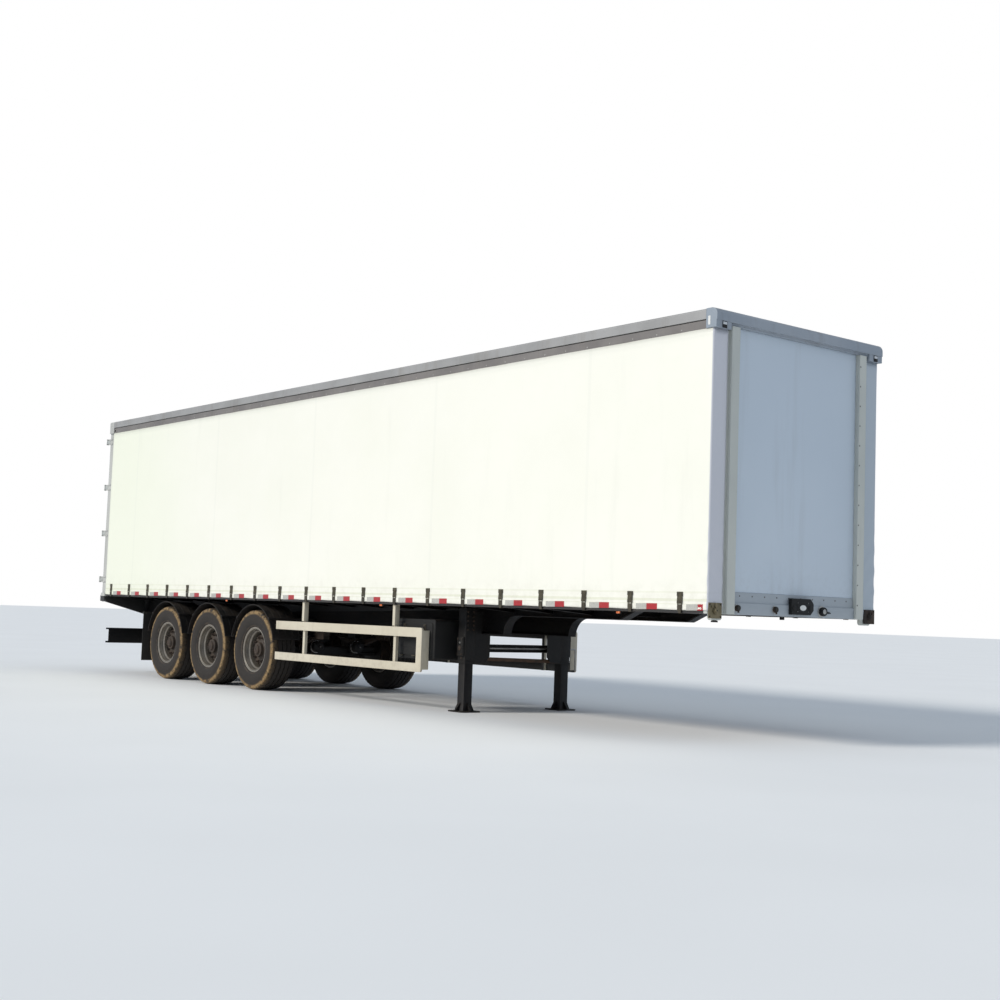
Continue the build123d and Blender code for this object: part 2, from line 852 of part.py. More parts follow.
# Curtains: one sheet along each side, turned round the front corner
def curtain_section():
    corner = (half_length - curtain_corner_radius, half_width - curtain_corner_radius)
    wrap_y = half_width - curtain_front_wrap
    with BuildLine() as outline:
        Line((curtain_rear_x, half_width), (corner[0], half_width))
        CenterArc(corner, curtain_corner_radius, 0, 90)
        Polyline(
            (half_length, corner[1]),
            (half_length, wrap_y),
            (half_length - curtain_thickness, wrap_y),
            (half_length - curtain_thickness, corner[1]),
        )
        CenterArc(corner, curtain_corner_radius - curtain_thickness, 0, 90)
        Polyline(
            (corner[0], curtain_inner_y),
            (curtain_rear_x, curtain_inner_y),
            (curtain_rear_x, half_width),
        )
    make_face(outline.edges())


with BuildPart() as curtain_left:
    with BuildSketch(level(curtain_bottom_z)):
        curtain_section()
    extrude(amount=curtain_top_z - fitting_gap - curtain_bottom_z)
finish(curtain_left.part, "curtain_left")

with BuildPart() as curtain_right:
    with BuildSketch(level(curtain_bottom_z)):
        curtain_section()
    extrude(amount=curtain_top_z - fitting_gap - curtain_bottom_z)
    mirror(about=Plane.XZ, mode=Mode.REPLACE)
finish(curtain_right.part, "curtain_right")


# Curtain buckles: strap, over-centre buckle and a hook under the side rail
with BuildPart() as one_buckle:
    strap_outer_y = half_width + strap_thickness
    lever_y = half_width + buckle_depth
    hook_zs = (rail_bottom_z - fitting_gap - hook_thickness, rail_bottom_z - fitting_gap)
    strap_xs = (-strap_width / 2, strap_width / 2)
    block(strap_xs, (half_width, strap_outer_y), (buckle_bottom_z, strap_top_z))
    with BuildSketch(cross_plane(0)):
        polygon_face([
            (strap_outer_y, buckle_bottom_z),
            (lever_y - strap_thickness, buckle_bottom_z),
            (lever_y, buckle_bottom_z + buckle_depth),
            (lever_y, buckle_top_z - buckle_depth),
            (strap_outer_y, buckle_top_z),
        ])
    extrude(amount=buckle_width / 2, both=True)
    block(strap_xs, (half_width, half_width + hook_thickness), (hook_zs[0], buckle_bottom_z))
    block(strap_xs, (half_width - hook_reach, half_width), hook_zs)
    mirror(about=Plane.XZ)

with BuildPart() as curtain_buckles:
    with Locations([(x, 0, 0) for x in buckle_xs]):
        add(one_buckle.part)
finish(curtain_buckles.part, "curtain_buckles")


# Curtain tensioners at the front corners
with BuildPart() as curtain_tensioners:
    plate_front = half_length + tensioner_plate
    tensioner_ys = (tensioner_inner_y, tensioner_outer_y)
    block((half_length, plate_front), tensioner_ys, (tensioner_bottom_z, tensioner_top_z))
    wheel_y = (tensioner_inner_y + tensioner_outer_y) / 2
    wheel_z = (tensioner_bottom_z + tensioner_top_z) / 2
    with BuildSketch(cross_plane(plate_front)):
        with Locations((wheel_y, wheel_z)):
            Circle(tensioner_wheel_radius)
    extrude(amount=tensioner_wheel_depth)
    lever_ys = (wheel_y - tensioner_lever_width / 2, wheel_y + tensioner_lever_width / 2)
    block((plate_front, plate_front + tensioner_wheel_depth), lever_ys, (wheel_z, tensioner_top_z))
    mirror(about=Plane.XZ)
finish(curtain_tensioners.part, "curtain_tensioners")


# Service fittings on the front wall's lower rail
with BuildPart() as service_connectors:
    box_width = 2 * connector_half_width
    box_height = connector_top_z - connector_bottom_z
    with BuildSketch(cross_plane(wall_rail_front_x)) as box_section:
        with Locations((connector_y, (connector_bottom_z + connector_top_z) / 2)):
            Rectangle(box_width, box_height)
        chamfer(box_section.vertices().sort_by(Axis.X)[-2:], connector_corner)
    extrude(amount=connector_depth)
    with BuildSketch(cross_plane(wall_rail_front_x)):
        with Locations((round_socket_y, round_socket_z)):
            Circle(round_socket_radius)
    extrude(amount=round_socket_depth)
    lever_zs = (round_socket_z - socket_lever_height, round_socket_z)
    lever_ys = (round_socket_y, round_socket_y + socket_lever_length)
    block((wall_rail_front_x, wall_rail_front_x + socket_lever_height), lever_ys, lever_zs)
    for y in hose_coupling_ys:
        with BuildSketch(cross_plane(wall_rail_front_x)):
            with Locations((y, round_socket_z)):
                Circle(hose_coupling_radius)
        extrude(amount=hose_coupling_depth)
finish(service_connectors.part, "service_connectors")


# Axles with brake shields, spindles and brake chambers
with BuildPart() as axles:
    for x in axle_xs:
        with BuildSketch(side_plane(0)):
            with Locations((x, tyre_radius)):
                RectangleRounded(axle_square, axle_square, axle_corner_radius)
        extrude(amount=axle_half_width, both=True)
        for side in (-1, 1):
            with BuildSketch(side_plane(side * axle_half_width)):
                with Locations((x, tyre_radius)):
                    Circle(shield_radius)
            extrude(amount=-side * shield_thickness)
            with BuildSketch(side_plane(side * axle_half_width)):
                with Locations((x, tyre_radius)):
                    Circle(spindle_radius)
            extrude(amount=-side * (spindle_end_y - axle_half_width))
            chamber_x = x + chamber_offset_x
            with BuildSketch(cross_plane(chamber_x)):
                with Locations((side * chamber_y, tyre_radius + chamber_lift)):
                    Circle(chamber_radius)
            extrude(amount=chamber_length)
            bracket_ys = (side * (chamber_y - chamber_radius / 2), side * (chamber_y + chamber_radius / 2))
            bracket_zs = (tyre_radius, tyre_radius + chamber_lift)
            block((x + axle_square / 2, chamber_x), bracket_ys, bracket_zs)
finish(axles.part, "axles")


# Leaf springs with their clamps
spring_bottom_z = tyre_radius + axle_square / 2 + spring_seat
spring_top_z = spring_bottom_z + leaf_count * leaf_thickness
leaf_centre_z = spring_top_z + leaf_radius


def leaf_face(x, index):
    from_radius = leaf_radius + index * leaf_thickness
    to_radius = from_radius + leaf_thickness
    half_angle = degrees((leaf_half_length - index * leaf_step) / leaf_radius)
    centre = (x, leaf_centre_z)
    with BuildLine() as leaf:
        upper = CenterArc(centre, from_radius, 270 - half_angle, 2 * half_angle)
        lower = CenterArc(centre, to_radius, 270 - half_angle, 2 * half_angle)
        Line(upper @ 0, lower @ 0)
        Line(upper @ 1, lower @ 1)
    make_face(leaf.edges())


with BuildPart() as leaf_springs:
    for x in axle_xs:
        with BuildSketch(side_plane(beam_y)):
            for index in range(leaf_count):
                leaf_face(x, index)
        extrude(amount=spring_width / 2, both=True)
        clamp_xs = (x - clamp_half_length, x + clamp_half_length)
        clamp_ys = (beam_y - spring_width / 2, beam_y + spring_width / 2)
        block(clamp_xs, clamp_ys, (spring_bottom_z - spring_seat, spring_bottom_z + leaf_thickness / 2))
        block(clamp_xs, clamp_ys, (spring_top_z - leaf_thickness, spring_top_z + clamp_thickness))
        low_z = tyre_radius - axle_square / 2
        block(clamp_xs, clamp_ys, (low_z - clamp_thickness, low_z))
        for bolt_side in (-1, 1):
            bolt_x = x + bolt_side * (axle_square / 2 + ubolt_radius + fitting_gap)
            with BuildSketch(level(low_z - clamp_thickness)):
                with Locations((bolt_x, clamp_ys[0] + ubolt_edge), (bolt_x, clamp_ys[1] - ubolt_edge)):
                    Circle(ubolt_radius)
            extrude(amount=spring_top_z + 2 * clamp_thickness - low_z)
    mirror(about=Plane.XZ)
finish(leaf_springs.part, "leaf_springs")


# Spring hangers and the two rockers between the axles
with BuildPart() as spring_hangers:
    spring_tip_z = leaf_centre_z - leaf_radius * cos(leaf_half_length / leaf_radius) + fitting_gap
    hanger_ys = (beam_y - spring_width / 2 - hanger_cheek, beam_y + spring_width / 2 + hanger_cheek)
    inner_ys = (beam_y - spring_width / 2 - fitting_gap, beam_y + spring_width / 2 + fitting_gap)
    end_xs = (axle_xs[0] + hanger_end_offset, axle_xs[2] - hanger_end_offset)
    for side, x in zip((1, -1), end_xs):
        xs = (x - side * hanger_half_length * 2, x + side * hanger_half_length)
        block(xs, hanger_ys, (hanger_bottom_z, beam_rear_bottom_z))
        block(xs, inner_ys, (hanger_bottom_z - overrun, spring_tip_z), Mode.SUBTRACT)
    for x in ((axle_xs[0] + axle_xs[1]) / 2, (axle_xs[1] + axle_xs[2]) / 2):
        xs = (x - hanger_half_length, x + hanger_half_length)
        block(xs, hanger_ys, (spring_tip_z, beam_rear_bottom_z))
        block(xs, inner_ys, (spring_tip_z - overrun, beam_rear_bottom_z - hanger_pad), Mode.SUBTRACT)
        rocker_z = spring_tip_z + rocker_half_height
        rocker_top_z = spring_tip_z + 2 * rocker_half_height
        end_top_z = spring_tip_z + rocker_end_height
        with BuildSketch(side_plane(beam_y)):
            polygon_face([
                (x - rocker_half_length, spring_tip_z),
                (x + rocker_half_length, spring_tip_z),
                (x + rocker_half_length, end_top_z),
                (x + rocker_half_height, rocker_top_z),
                (x - rocker_half_height, rocker_top_z),
                (x - rocker_half_length, end_top_z),
            ])
        extrude(amount=spring_width / 2, both=True)
        with BuildSketch(side_plane(beam_y)):
            with Locations((x, rocker_z)):
                Circle(rocker_pin_radius)
        extrude(amount=spring_width / 2 + hanger_cheek, both=True)
    mirror(about=Plane.XZ)
finish(spring_hangers.part, "spring_hangers")


# Wheels: a wide tyre on a rim whose disc is bolted to the hub and brake drum
def wheel_plane(x, side):
    return Plane(origin=(x, 0, tyre_radius), x_dir=(0, side, 0), z_dir=(side, 0, 0))


def wheel_axis(x):
    return Axis((x, 0, tyre_radius), (0, 1, 0))


def tyre_points():
    half = [
        (tyre_bead_half_width, rim_flange_radius + fitting_gap),
        (tyre_half_width, tyre_bulge_radius),
        (tyre_half_width, tyre_shoulder_radius),
        (tyre_tread_half_width, tyre_radius),
    ]
    outer = [(wheel_centre_y + w, r) for w, r in half]
    inner = [(wheel_centre_y - w, r) for w, r in reversed(half)]
    return outer + inner


def rim_points():
    half = [
        (rim_half_width, rim_flange_radius),
        (rim_half_width - rim_flange_width, rim_flange_radius),
        (rim_half_width - rim_flange_width, rim_seat_radius),
        (rim_well_half_width, rim_well_radius),
    ]
    under = [
        (rim_well_half_width, rim_well_radius - rim_wall),
        (rim_half_width, rim_seat_radius - rim_wall),
    ]
    upper = [(wheel_centre_y - w, r) for w, r in half] + [(wheel_centre_y + w, r) for w, r in reversed(half)]
    lower = [(wheel_centre_y + w, r) for w, r in reversed(under)] + [(wheel_centre_y - w, r) for w, r in under]
    return upper + lower


disc_seat_y = wheel_centre_y + disc_seat_offset
disc_face_y = disc_seat_y + disc_thickness
disc_well_y = wheel_centre_y - disc_well_offset


def disc_points():
    well_radius = rim_well_radius - rim_wall / 2
    return [
        (disc_seat_y, hub_pilot_radius),
        (disc_face_y, hub_pilot_radius),
        (disc_face_y, disc_face_radius + disc_thickness),
        (disc_well_y + 2 * rim_wall, well_radius),
        (disc_well_y, well_radius),
        (disc_seat_y, disc_face_radius),
    ]


for x, place in zip(axle_xs, axle_names):
    for side, side_name in ((-1, "right"), (1, "left")):
        with BuildPart() as tyre:
            with BuildSketch(wheel_plane(x, side)):
                polygon_face(tyre_points())
            revolve(axis=wheel_axis(x))
        finish(tyre.part, f"tyre_{place}_{side_name}")

        with BuildPart() as wheel:
            cap_y = disc_seat_y + hub_cap_length
            with BuildSketch(wheel_plane(x, side)):
                polygon_face(rim_points())
                polygon_face(disc_points())
                polygon_face([
                    (drum_inner_y, drum_radius - drum_wall),
                    (drum_inner_y, drum_radius),
                    (disc_seat_y - 5 * drum_wall, drum_radius),
                    (disc_seat_y - 3 * drum_wall, hub_flange_radius),
                    (disc_seat_y, hub_flange_radius),
                    (disc_seat_y, hub_pilot_radius),
                    (disc_face_y, hub_pilot_radius),
                    (disc_face_y + disc_thickness, hub_nose_radius),
                    (cap_y - hub_cap_radius / 2, hub_nose_radius),
                    (cap_y, hub_cap_radius),
                    (cap_y, 0),
                    (cap_y - drum_wall, 0),
                    (cap_y - drum_wall, spindle_radius + spindle_gap),
                    (hub_rear_y, spindle_radius + spindle_gap),
                    (hub_rear_y, hub_nose_radius),
                    (disc_seat_y - 4 * drum_wall, hub_nose_radius),
                    (disc_seat_y - 4 * drum_wall, hub_pilot_radius),
                    (disc_seat_y - 6 * drum_wall, drum_radius - drum_wall),
                ])
            revolve(axis=wheel_axis(x))
            with BuildSketch(side_plane(side * disc_well_y)):
                with Locations((x, tyre_radius)):
                    with PolarLocations(hand_hole_circle, hand_hole_count):
                        Circle(hand_hole_radius)
            extrude(amount=-side * (disc_face_y + overrun - disc_well_y), mode=Mode.SUBTRACT)
        finish(wheel.part, f"rim_{place}_{side_name}")


# Mudguards: a half-round sheet over each wheel, on two bars from the beam
with BuildPart() as mudguards:
    arch_z = tyre_radius + guard_lift
    for x in axle_xs:
        with BuildSketch(side_plane(guard_inner_y)):
            with Locations((x, arch_z)):
                Circle(guard_radius + guard_sheet)
                Circle(guard_radius, mode=Mode.SUBTRACT)
            with Locations((x, arch_z + guard_end_lift - guard_radius)):
                Rectangle(3 * guard_radius, 2 * guard_radius, mode=Mode.SUBTRACT)
        extrude(amount=guard_inner_y - guard_outer_y)
        bar_distance = guard_radius + guard_sheet / 2 + guard_bar_radius
        for bar_side in (-1, 1):
            bar_x = x + bar_side * (bar_distance ** 2 - (guard_bar_z - arch_z) ** 2) ** 0.5
            with BuildSketch(side_plane(beam_web_outer_y)):
                with Locations((bar_x, guard_bar_z)):
                    Circle(guard_bar_radius)
            extrude(amount=beam_web_outer_y - guard_outer_y)
    mirror(about=Plane.XZ)
finish(mudguards.part, "mudguards")


# Mudflaps behind the rear wheels, hung from a bar on the beam
with BuildPart() as mudflaps:
    block((flap_x, flap_x + flap_thickness), (flap_inner_y, flap_outer_y), (flap_bottom_z, flap_top_z))
    bar_zs = (beam_rear_bottom_z + beam_flange_thickness, beam_rear_bottom_z + beam_flange_thickness + flap_bar)
    block((flap_x, flap_x + flap_thickness), (flap_inner_y, flap_outer_y), (flap_top_z, bar_zs[1]))
    block((flap_x - flap_bar, flap_x), (beam_web_outer_y, flap_outer_y), bar_zs)
    mirror(about=Plane.XZ)
finish(mudflaps.part, "mudflaps")


# Landing gear: outer housings with brackets, cross channel and brace
with BuildPart() as landing_legs:
    housing_ys = (leg_y - housing_half, leg_y + housing_half)
    housing_xs = (leg_x - housing_half, leg_x + housing_half)
    block(housing_xs, housing_ys, (leg_housing_bottom_z, leg_housing_top_z))
    bore_xs = (housing_xs[0] + leg_wall, housing_xs[1] - leg_wall)
    bore_ys = (housing_ys[0] + leg_wall, housing_ys[1] - leg_wall)
    block(bore_xs, bore_ys, (leg_housing_bottom_z - overrun, leg_housing_top_z - leg_wall), Mode.SUBTRACT)
    gear_xs = (leg_x - gearbox_width / 2, leg_x + gearbox_width / 2)
    block(gear_xs, (housing_ys[1], housing_ys[1] + gearbox_depth), (gearbox_bottom_z, gearbox_top_z))
    for bracket_side in (-1, 1):
        plate_x = leg_x + bracket_side * leg_bracket_half_width
        plate_xs = (plate_x - leg_wall / 2, plate_x + leg_wall / 2)
        block(plate_xs, (beam_web_outer_y, housing_ys[0]), (leg_bracket_bottom_z, leg_bracket_top_z))
    back_xs = (leg_x - leg_bracket_half_width, leg_x + leg_bracket_half_width)
    back_ys = (housing_ys[0] - leg_wall, housing_ys[0])
    block(back_xs, back_ys, (leg_bracket_bottom_z, leg_bracket_top_z))
    mirror(about=Plane.XZ)
    cross_xs = (leg_x - cross_half_width, leg_x + cross_half_width)
    inner_xs = (leg_x - cross_half_width + leg_wall, leg_x + cross_half_width + overrun)
    block(cross_xs, (-housing_ys[0], housing_ys[0]), (cross_bottom_z, cross_top_z))
    block(inner_xs, (-housing_ys[0], housing_ys[0]), (cross_bottom_z + leg_wall, cross_top_z - leg_wall), Mode.SUBTRACT)
    with BuildSketch(cross_plane(leg_x)):
        polygon_face([
            (-housing_ys[0], brace_near_z - brace_thickness / 2),
            (housing_ys[0], brace_far_z - brace_thickness / 2),
            (housing_ys[0], brace_far_z + brace_thickness / 2),
            (-housing_ys[0], brace_near_z + brace_thickness / 2),
        ])
    extrude(amount=brace_half_width, both=True)
finish(landing_legs.part, "landing_legs")

with BuildPart() as landing_feet:
    with BuildSketch(level(foot_block_z)) as tube_section:
        with Locations((leg_x, leg_y)):
            Rectangle(leg_tube, leg_tube)
            Rectangle(leg_tube - 2 * leg_wall, leg_tube - 2 * leg_wall, mode=Mode.SUBTRACT)
    extrude(amount=leg_tube_top_z - foot_block_z)
    with BuildSketch(level(0)):
        with Locations((leg_x, leg_y)):
            RectangleRounded(foot_size, foot_size, foot_corner_radius)
    extrude(amount=foot_plate)
    with BuildSketch(level(foot_plate)):
        with Locations((leg_x, leg_y)):
            Rectangle(foot_size * foot_block_share, foot_size * foot_block_share)
    with BuildSketch(level(foot_block_z)):
        with Locations((leg_x, leg_y)):
            Rectangle(leg_tube, leg_tube)
    loft()
    mirror(about=Plane.XZ)
finish(landing_feet.part, "landing_feet")

with BuildPart() as landing_shaft:
    inner_y = leg_y - housing_half
    crank_y = leg_y + housing_half + gearbox_depth
    with BuildSketch(side_plane(0)):
        with Locations((leg_x, shaft_z)):
            Circle(shaft_radius)
    extrude(amount=inner_y, both=True)
    with BuildSketch(side_plane(crank_y)):
        with Locations((leg_x, shaft_z)):
            Circle(crank_radius)
    extrude(amount=-crank_reach)
    with BuildSketch(level(shaft_z)):
        with Locations((leg_x, crank_y + crank_reach)):
            Circle(crank_radius)
    extrude(amount=-crank_drop)
finish(landing_shaft.part, "landing_shaft")


# Side guards: two rails on posts, closed by a wide rounded end with a return
def build_side_guard():
    front_y = side_guard_outer_y
    back_y = front_y - side_guard_depth
    end_rear_x = side_guard_front_x - side_guard_end_width
    low_z = side_guard_low_zs[0]
    top_z = side_guard_top_zs[1]
    for zs in (side_guard_top_zs, side_guard_low_zs):
        block((side_guard_rear_x, end_rear_x), (back_y, front_y), zs)
    with BuildSketch(side_plane(back_y)) as end_face:
        with Locations(((end_rear_x + side_guard_front_x) / 2, (low_z + top_z) / 2)):
            Rectangle(side_guard_end_width, top_z - low_z)
        fillet(end_face.vertices().sort_by(Axis.X)[-2:], side_guard_end_radius)
    extrude(end_face.sketch, amount=-side_guard_depth)
    return_xs = (side_guard_front_x - side_guard_sheet, side_guard_front_x)
    return_zs = (low_z + side_guard_end_radius, top_z - side_guard_end_radius)
    block(return_xs, (front_y - side_guard_return, front_y - side_guard_sheet), return_zs)
    for x in side_guard_post_xs:
        post_xs = (x - side_guard_post_width / 2, x + side_guard_post_width / 2)
        inner_y = back_y - side_guard_post_depth
        block(post_xs, (inner_y, back_y), (low_z, rail_bottom_z))
        block(post_xs, (inner_y, front_y), (side_guard_shoulder_z, rail_bottom_z))


with BuildPart() as side_guard_left:
    build_side_guard()
finish(side_guard_left.part, "side_guard_left")

with BuildPart() as side_guard_right:
    build_side_guard()
    mirror(about=Plane.XZ, mode=Mode.REPLACE)
finish(side_guard_right.part, "side_guard_right")


# Toolbox on the right side ahead of the side guard's end
with BuildPart() as toolbox:
    box_middle = ((toolbox_rear_x + toolbox_front_x) / 2, -(toolbox_inner_y + toolbox_outer_y) / 2)
    box_size = (toolbox_front_x - toolbox_rear_x, toolbox_outer_y - toolbox_inner_y)
    with BuildSketch(side_plane(-toolbox_inner_y)):
        with Locations((box_middle[0], (toolbox_bottom_z + toolbox_top_z) / 2)):
            RectangleRounded(box_size[0], toolbox_top_z - toolbox_bottom_z, toolbox_radius)
    extrude(amount=box_size[1])
    lid_size = (box_size[0] - 2 * toolbox_lid_margin, toolbox_top_z - toolbox_bottom_z - 2 * toolbox_lid_margin)
    with BuildSketch(side_plane(-toolbox_outer_y)):
        with Locations((box_middle[0], (toolbox_bottom_z + toolbox_top_z) / 2)):
            RectangleRounded(lid_size[0], lid_size[1], toolbox_radius)
    extrude(amount=toolbox_lid_rise)
    for x in toolbox_bracket_xs:
        bracket_xs = (x - toolbox_bracket_width / 2, x + toolbox_bracket_width / 2)
        bracket_zs = (toolbox_bracket_z, toolbox_bracket_z + toolbox_bracket_width)
        block(bracket_xs, (-toolbox_inner_y, -beam_web_outer_y), bracket_zs)
finish(toolbox.part, "toolbox")


# Air tanks slung across the beams
with BuildPart() as air_tanks:
    for x in tank_xs:
        with BuildSketch(Plane(origin=(x, 0, tank_centre_z), x_dir=(0, 1, 0), z_dir=(1, 0, 0))):
            polygon_face([
                (-tank_half_length, 0),
                (-tank_half_length, tank_radius - tank_dome),
                (-tank_half_length + tank_dome, tank_radius),
                (tank_half_length - tank_dome, tank_radius),
                (tank_half_length, tank_radius - tank_dome),
                (tank_half_length, 0),
            ])
        revolve(axis=Axis((x, 0, tank_centre_z), (0, 1, 0)))
        saddle_xs = (x - tank_saddle_half_width, x + tank_saddle_half_width)
        saddle_zs = (tank_centre_z, beam_mid_bottom_z)
        for side in (-1, 1):
            saddle_ys = (side * beam_inner_edge_y, side * (beam_inner_edge_y - beam_web + tank_dome / 2))
            block(saddle_xs, saddle_ys, saddle_zs)
finish(air_tanks.part, "air_tanks")


# Underrun beam: a lipped channel open to the rear, on two arms, with a plate holder
with BuildPart() as underrun_beam:
    rear_x = underrun_web_x - underrun_depth
    with BuildSketch(side_plane(0)):
        polygon_face([
            (underrun_web_x, underrun_bottom_z),
            (underrun_web_x, underrun_top_z),
            (rear_x, underrun_top_z),
            (rear_x, underrun_top_z - underrun_lip),
            (rear_x + underrun_wall, underrun_top_z - underrun_lip),
            (rear_x + underrun_wall, underrun_top_z - underrun_wall),
            (underrun_web_x - underrun_wall, underrun_top_z - underrun_wall),
            (underrun_web_x - underrun_wall, underrun_bottom_z + underrun_wall),
            (rear_x + underrun_wall, underrun_bottom_z + underrun_wall),
            (rear_x + underrun_wall, underrun_bottom_z + underrun_lip),
            (rear_x, underrun_bottom_z + underrun_lip),
            (rear_x, underrun_bottom_z),
        ])
    extrude(amount=underrun_half_width, both=True)
    for side in (-1, 1):
        arm_ys = (side * beam_y - underrun_arm_thickness / 2, side * beam_y + underrun_arm_thickness / 2)
        arm_xs = (underrun_web_x, underrun_web_x + underrun_arm_depth)
        block(arm_xs, arm_ys, (underrun_bottom_z, beam_rear_bottom_z))
    holder_ys = (-plate_holder_half_width, plate_holder_half_width)
    holder_z = (underrun_bottom_z + underrun_top_z) / 2
    holder_zs = (holder_z - plate_holder_height / 2, holder_z + plate_holder_height / 2)
    block((rear_x, rear_x + underrun_wall), holder_ys, holder_zs)
    for side in (-1, 1):
        leg_ys = (side * plate_holder_half_width, side * (plate_holder_half_width - underrun_wall))
        block((rear_x, underrun_web_x - underrun_wall), leg_ys, holder_zs)
finish(underrun_beam.part, "underrun_beam")


# Lamps and buffers
with BuildPart() as marker_lamps:
    lamp_top_z = rail_bottom_z
    for x in marker_xs:
        lamp_xs = (x - marker_length / 2, x + marker_length / 2)
        lamp_ys = (rail_outer_y - marker_depth, rail_outer_y)
        block(lamp_xs, lamp_ys, (lamp_top_z - marker_height, lamp_top_z))
    corner_ys = (
        half_width - curtain_front_wrap / 2 - corner_lamp_half,
        half_width - curtain_front_wrap / 2 + corner_lamp_half,
    )
    corner_zs = (curtain_top_z + fitting_gap, curtain_top_z + 2 * corner_lamp_half)
    block((header_corner_x, header_corner_x + corner_lamp_depth), corner_ys, corner_zs)
    mirror(about=Plane.XZ)
finish(marker_lamps.part, "marker_lamps")

with BuildPart() as tail_lamps:
    with BuildSketch(cross_plane(frame_rear_x)):
        with Locations((
            (tail_lamp_ys[0] + tail_lamp_ys[1]) / 2,
            (tail_lamp_bottom_z + tail_lamp_top_z) / 2,
        )):
            RectangleRounded(
                tail_lamp_ys[1] - tail_lamp_ys[0],
                tail_lamp_top_z - tail_lamp_bottom_z,
                tail_lamp_radius,
            )
    extrude(amount=-tail_lamp_depth)
    mirror(about=Plane.XZ)
finish(tail_lamps.part, "tail_lamps")

with BuildPart() as dock_buffers:
    with BuildSketch(side_plane(buffer_inner_y)) as buffer_section:
        with Locations((
            (frame_rear_x - overall_half_length) / 2,
            (buffer_bottom_z + buffer_top_z) / 2,
        )):
            Rectangle(overall_half_length + frame_rear_x, buffer_top_z - buffer_bottom_z)
        fillet(buffer_section.vertices().sort_by(Axis.X)[:2], buffer_radius)
    extrude(amount=buffer_inner_y - buffer_outer_y)
    mirror(about=Plane.XZ)
finish(dock_buffers.part, "dock_buffers")


# Rear doors: framed panels with hinge straps, built on the left and mirrored to the right
def build_door():
    inner_x = door_outer_x + door_thickness
    block((door_outer_x, inner_x), (door_middle_gap, door_edge_y), (door_bottom_z, door_top_z))
    field_ys = (door_middle_gap + door_border, door_edge_y - door_border)
    field_zs = (door_bottom_z + door_border, door_top_z - door_border)
    block((door_outer_x - overrun, door_outer_x + door_recess), field_ys, field_zs, Mode.SUBTRACT)
    strap_x = door_outer_x - hinge_strap_thickness
    for hinge_z in hinge_zs:
        strap_zs = (hinge_z - hinge_height / 2, hinge_z + hinge_height / 2)
        block((strap_x, door_outer_x + door_recess), (door_edge_y - hinge_strap_reach, door_edge_y), strap_zs)
        with BuildSketch(level(strap_zs[0])) as link_section:
            polygon_face([
                (door_outer_x, door_edge_y),
                (strap_x, door_edge_y - hinge_knuckle_radius),
                (hinge_x - hinge_knuckle_radius / 2, hinge_y - hinge_knuckle_radius / 2),
                (hinge_x + hinge_knuckle_radius / 2, hinge_y + hinge_knuckle_radius / 2),
            ])
            with Locations((hinge_x, hinge_y)):
                Circle(hinge_knuckle_radius)
                Circle(hinge_pin_radius + hinge_pin_gap, mode=Mode.SUBTRACT)
        extrude(link_section.sketch, amount=hinge_height)


with BuildPart() as door_left:
    build_door()
finish(door_left.part, "door_left")

with BuildPart() as door_right:
    build_door()
    mirror(about=Plane.XZ, mode=Mode.REPLACE)
finish(door_right.part, "door_right")


# Door locks: two full-height rods with cams and guides, and a handle on each
def build_locks():
    for rod_y in lock_rod_ys:
        with BuildSketch(level(lock_rod_bottom_z)) as rod_section:
            with Locations((lock_rod_x, rod_y)):
                Circle(lock_rod_radius)
        extrude(rod_section.sketch, amount=lock_rod_top_z - lock_rod_bottom_z)
        for end_z in (lock_rod_bottom_z, lock_rod_top_z):
            cam_zs = (end_z - lock_cam_height / 2, end_z + lock_cam_height / 2)
            cam_ys = (rod_y - lock_cam_half_width, rod_y + lock_cam_half_width)
            block((lock_rod_x, lock_rod_x + lock_cam_depth), cam_ys, cam_zs)
        for guide_z in lock_guide_zs:
            guide_ys = (rod_y - lock_guide_half_width, rod_y + lock_guide_half_width)
            guide_zs = (guide_z - lock_guide_height / 2, guide_z + lock_guide_height / 2)
            depth_xs = (lock_rod_x, door_outer_x + door_recess)
            block(depth_xs, guide_ys, guide_zs)
        handle_x = lock_rod_x - lock_rod_radius
        handle_xs = (handle_x - lock_handle_thickness, handle_x + lock_handle_thickness / 2)
        direction = 1 if rod_y < half_width / 2 else -1
        handle_ys = (rod_y - direction * lock_cam_half_width, rod_y + direction * lock_handle_length)
        handle_z = lock_handle_z if direction > 0 else lock_handle_z + 3 * lock_handle_height
        block(handle_xs, handle_ys, (handle_z, handle_z + lock_handle_height))


with BuildPart() as door_locks_left:
    build_locks()
finish(door_locks_left.part, "door_locks_left")

with BuildPart() as door_locks_right:
    build_locks()
    mirror(about=Plane.XZ, mode=Mode.REPLACE)
finish(door_locks_right.part, "door_locks_right")
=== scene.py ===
import math

import bmesh
import bpy
import numpy as np
from mathutils import Matrix, Vector, noise


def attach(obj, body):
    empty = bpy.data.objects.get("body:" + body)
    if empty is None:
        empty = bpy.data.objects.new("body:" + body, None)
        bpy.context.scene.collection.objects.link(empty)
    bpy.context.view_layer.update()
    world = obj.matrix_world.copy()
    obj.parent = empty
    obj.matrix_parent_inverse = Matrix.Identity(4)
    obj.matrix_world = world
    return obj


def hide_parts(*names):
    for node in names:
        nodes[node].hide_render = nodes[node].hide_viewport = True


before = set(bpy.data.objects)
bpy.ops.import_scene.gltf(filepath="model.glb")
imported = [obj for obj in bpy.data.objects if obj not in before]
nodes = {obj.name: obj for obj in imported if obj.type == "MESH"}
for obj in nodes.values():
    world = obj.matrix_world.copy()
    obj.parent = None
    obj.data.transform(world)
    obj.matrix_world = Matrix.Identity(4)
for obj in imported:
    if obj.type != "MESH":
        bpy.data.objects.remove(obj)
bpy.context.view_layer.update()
print("frame loaded, nodes:", len(nodes))


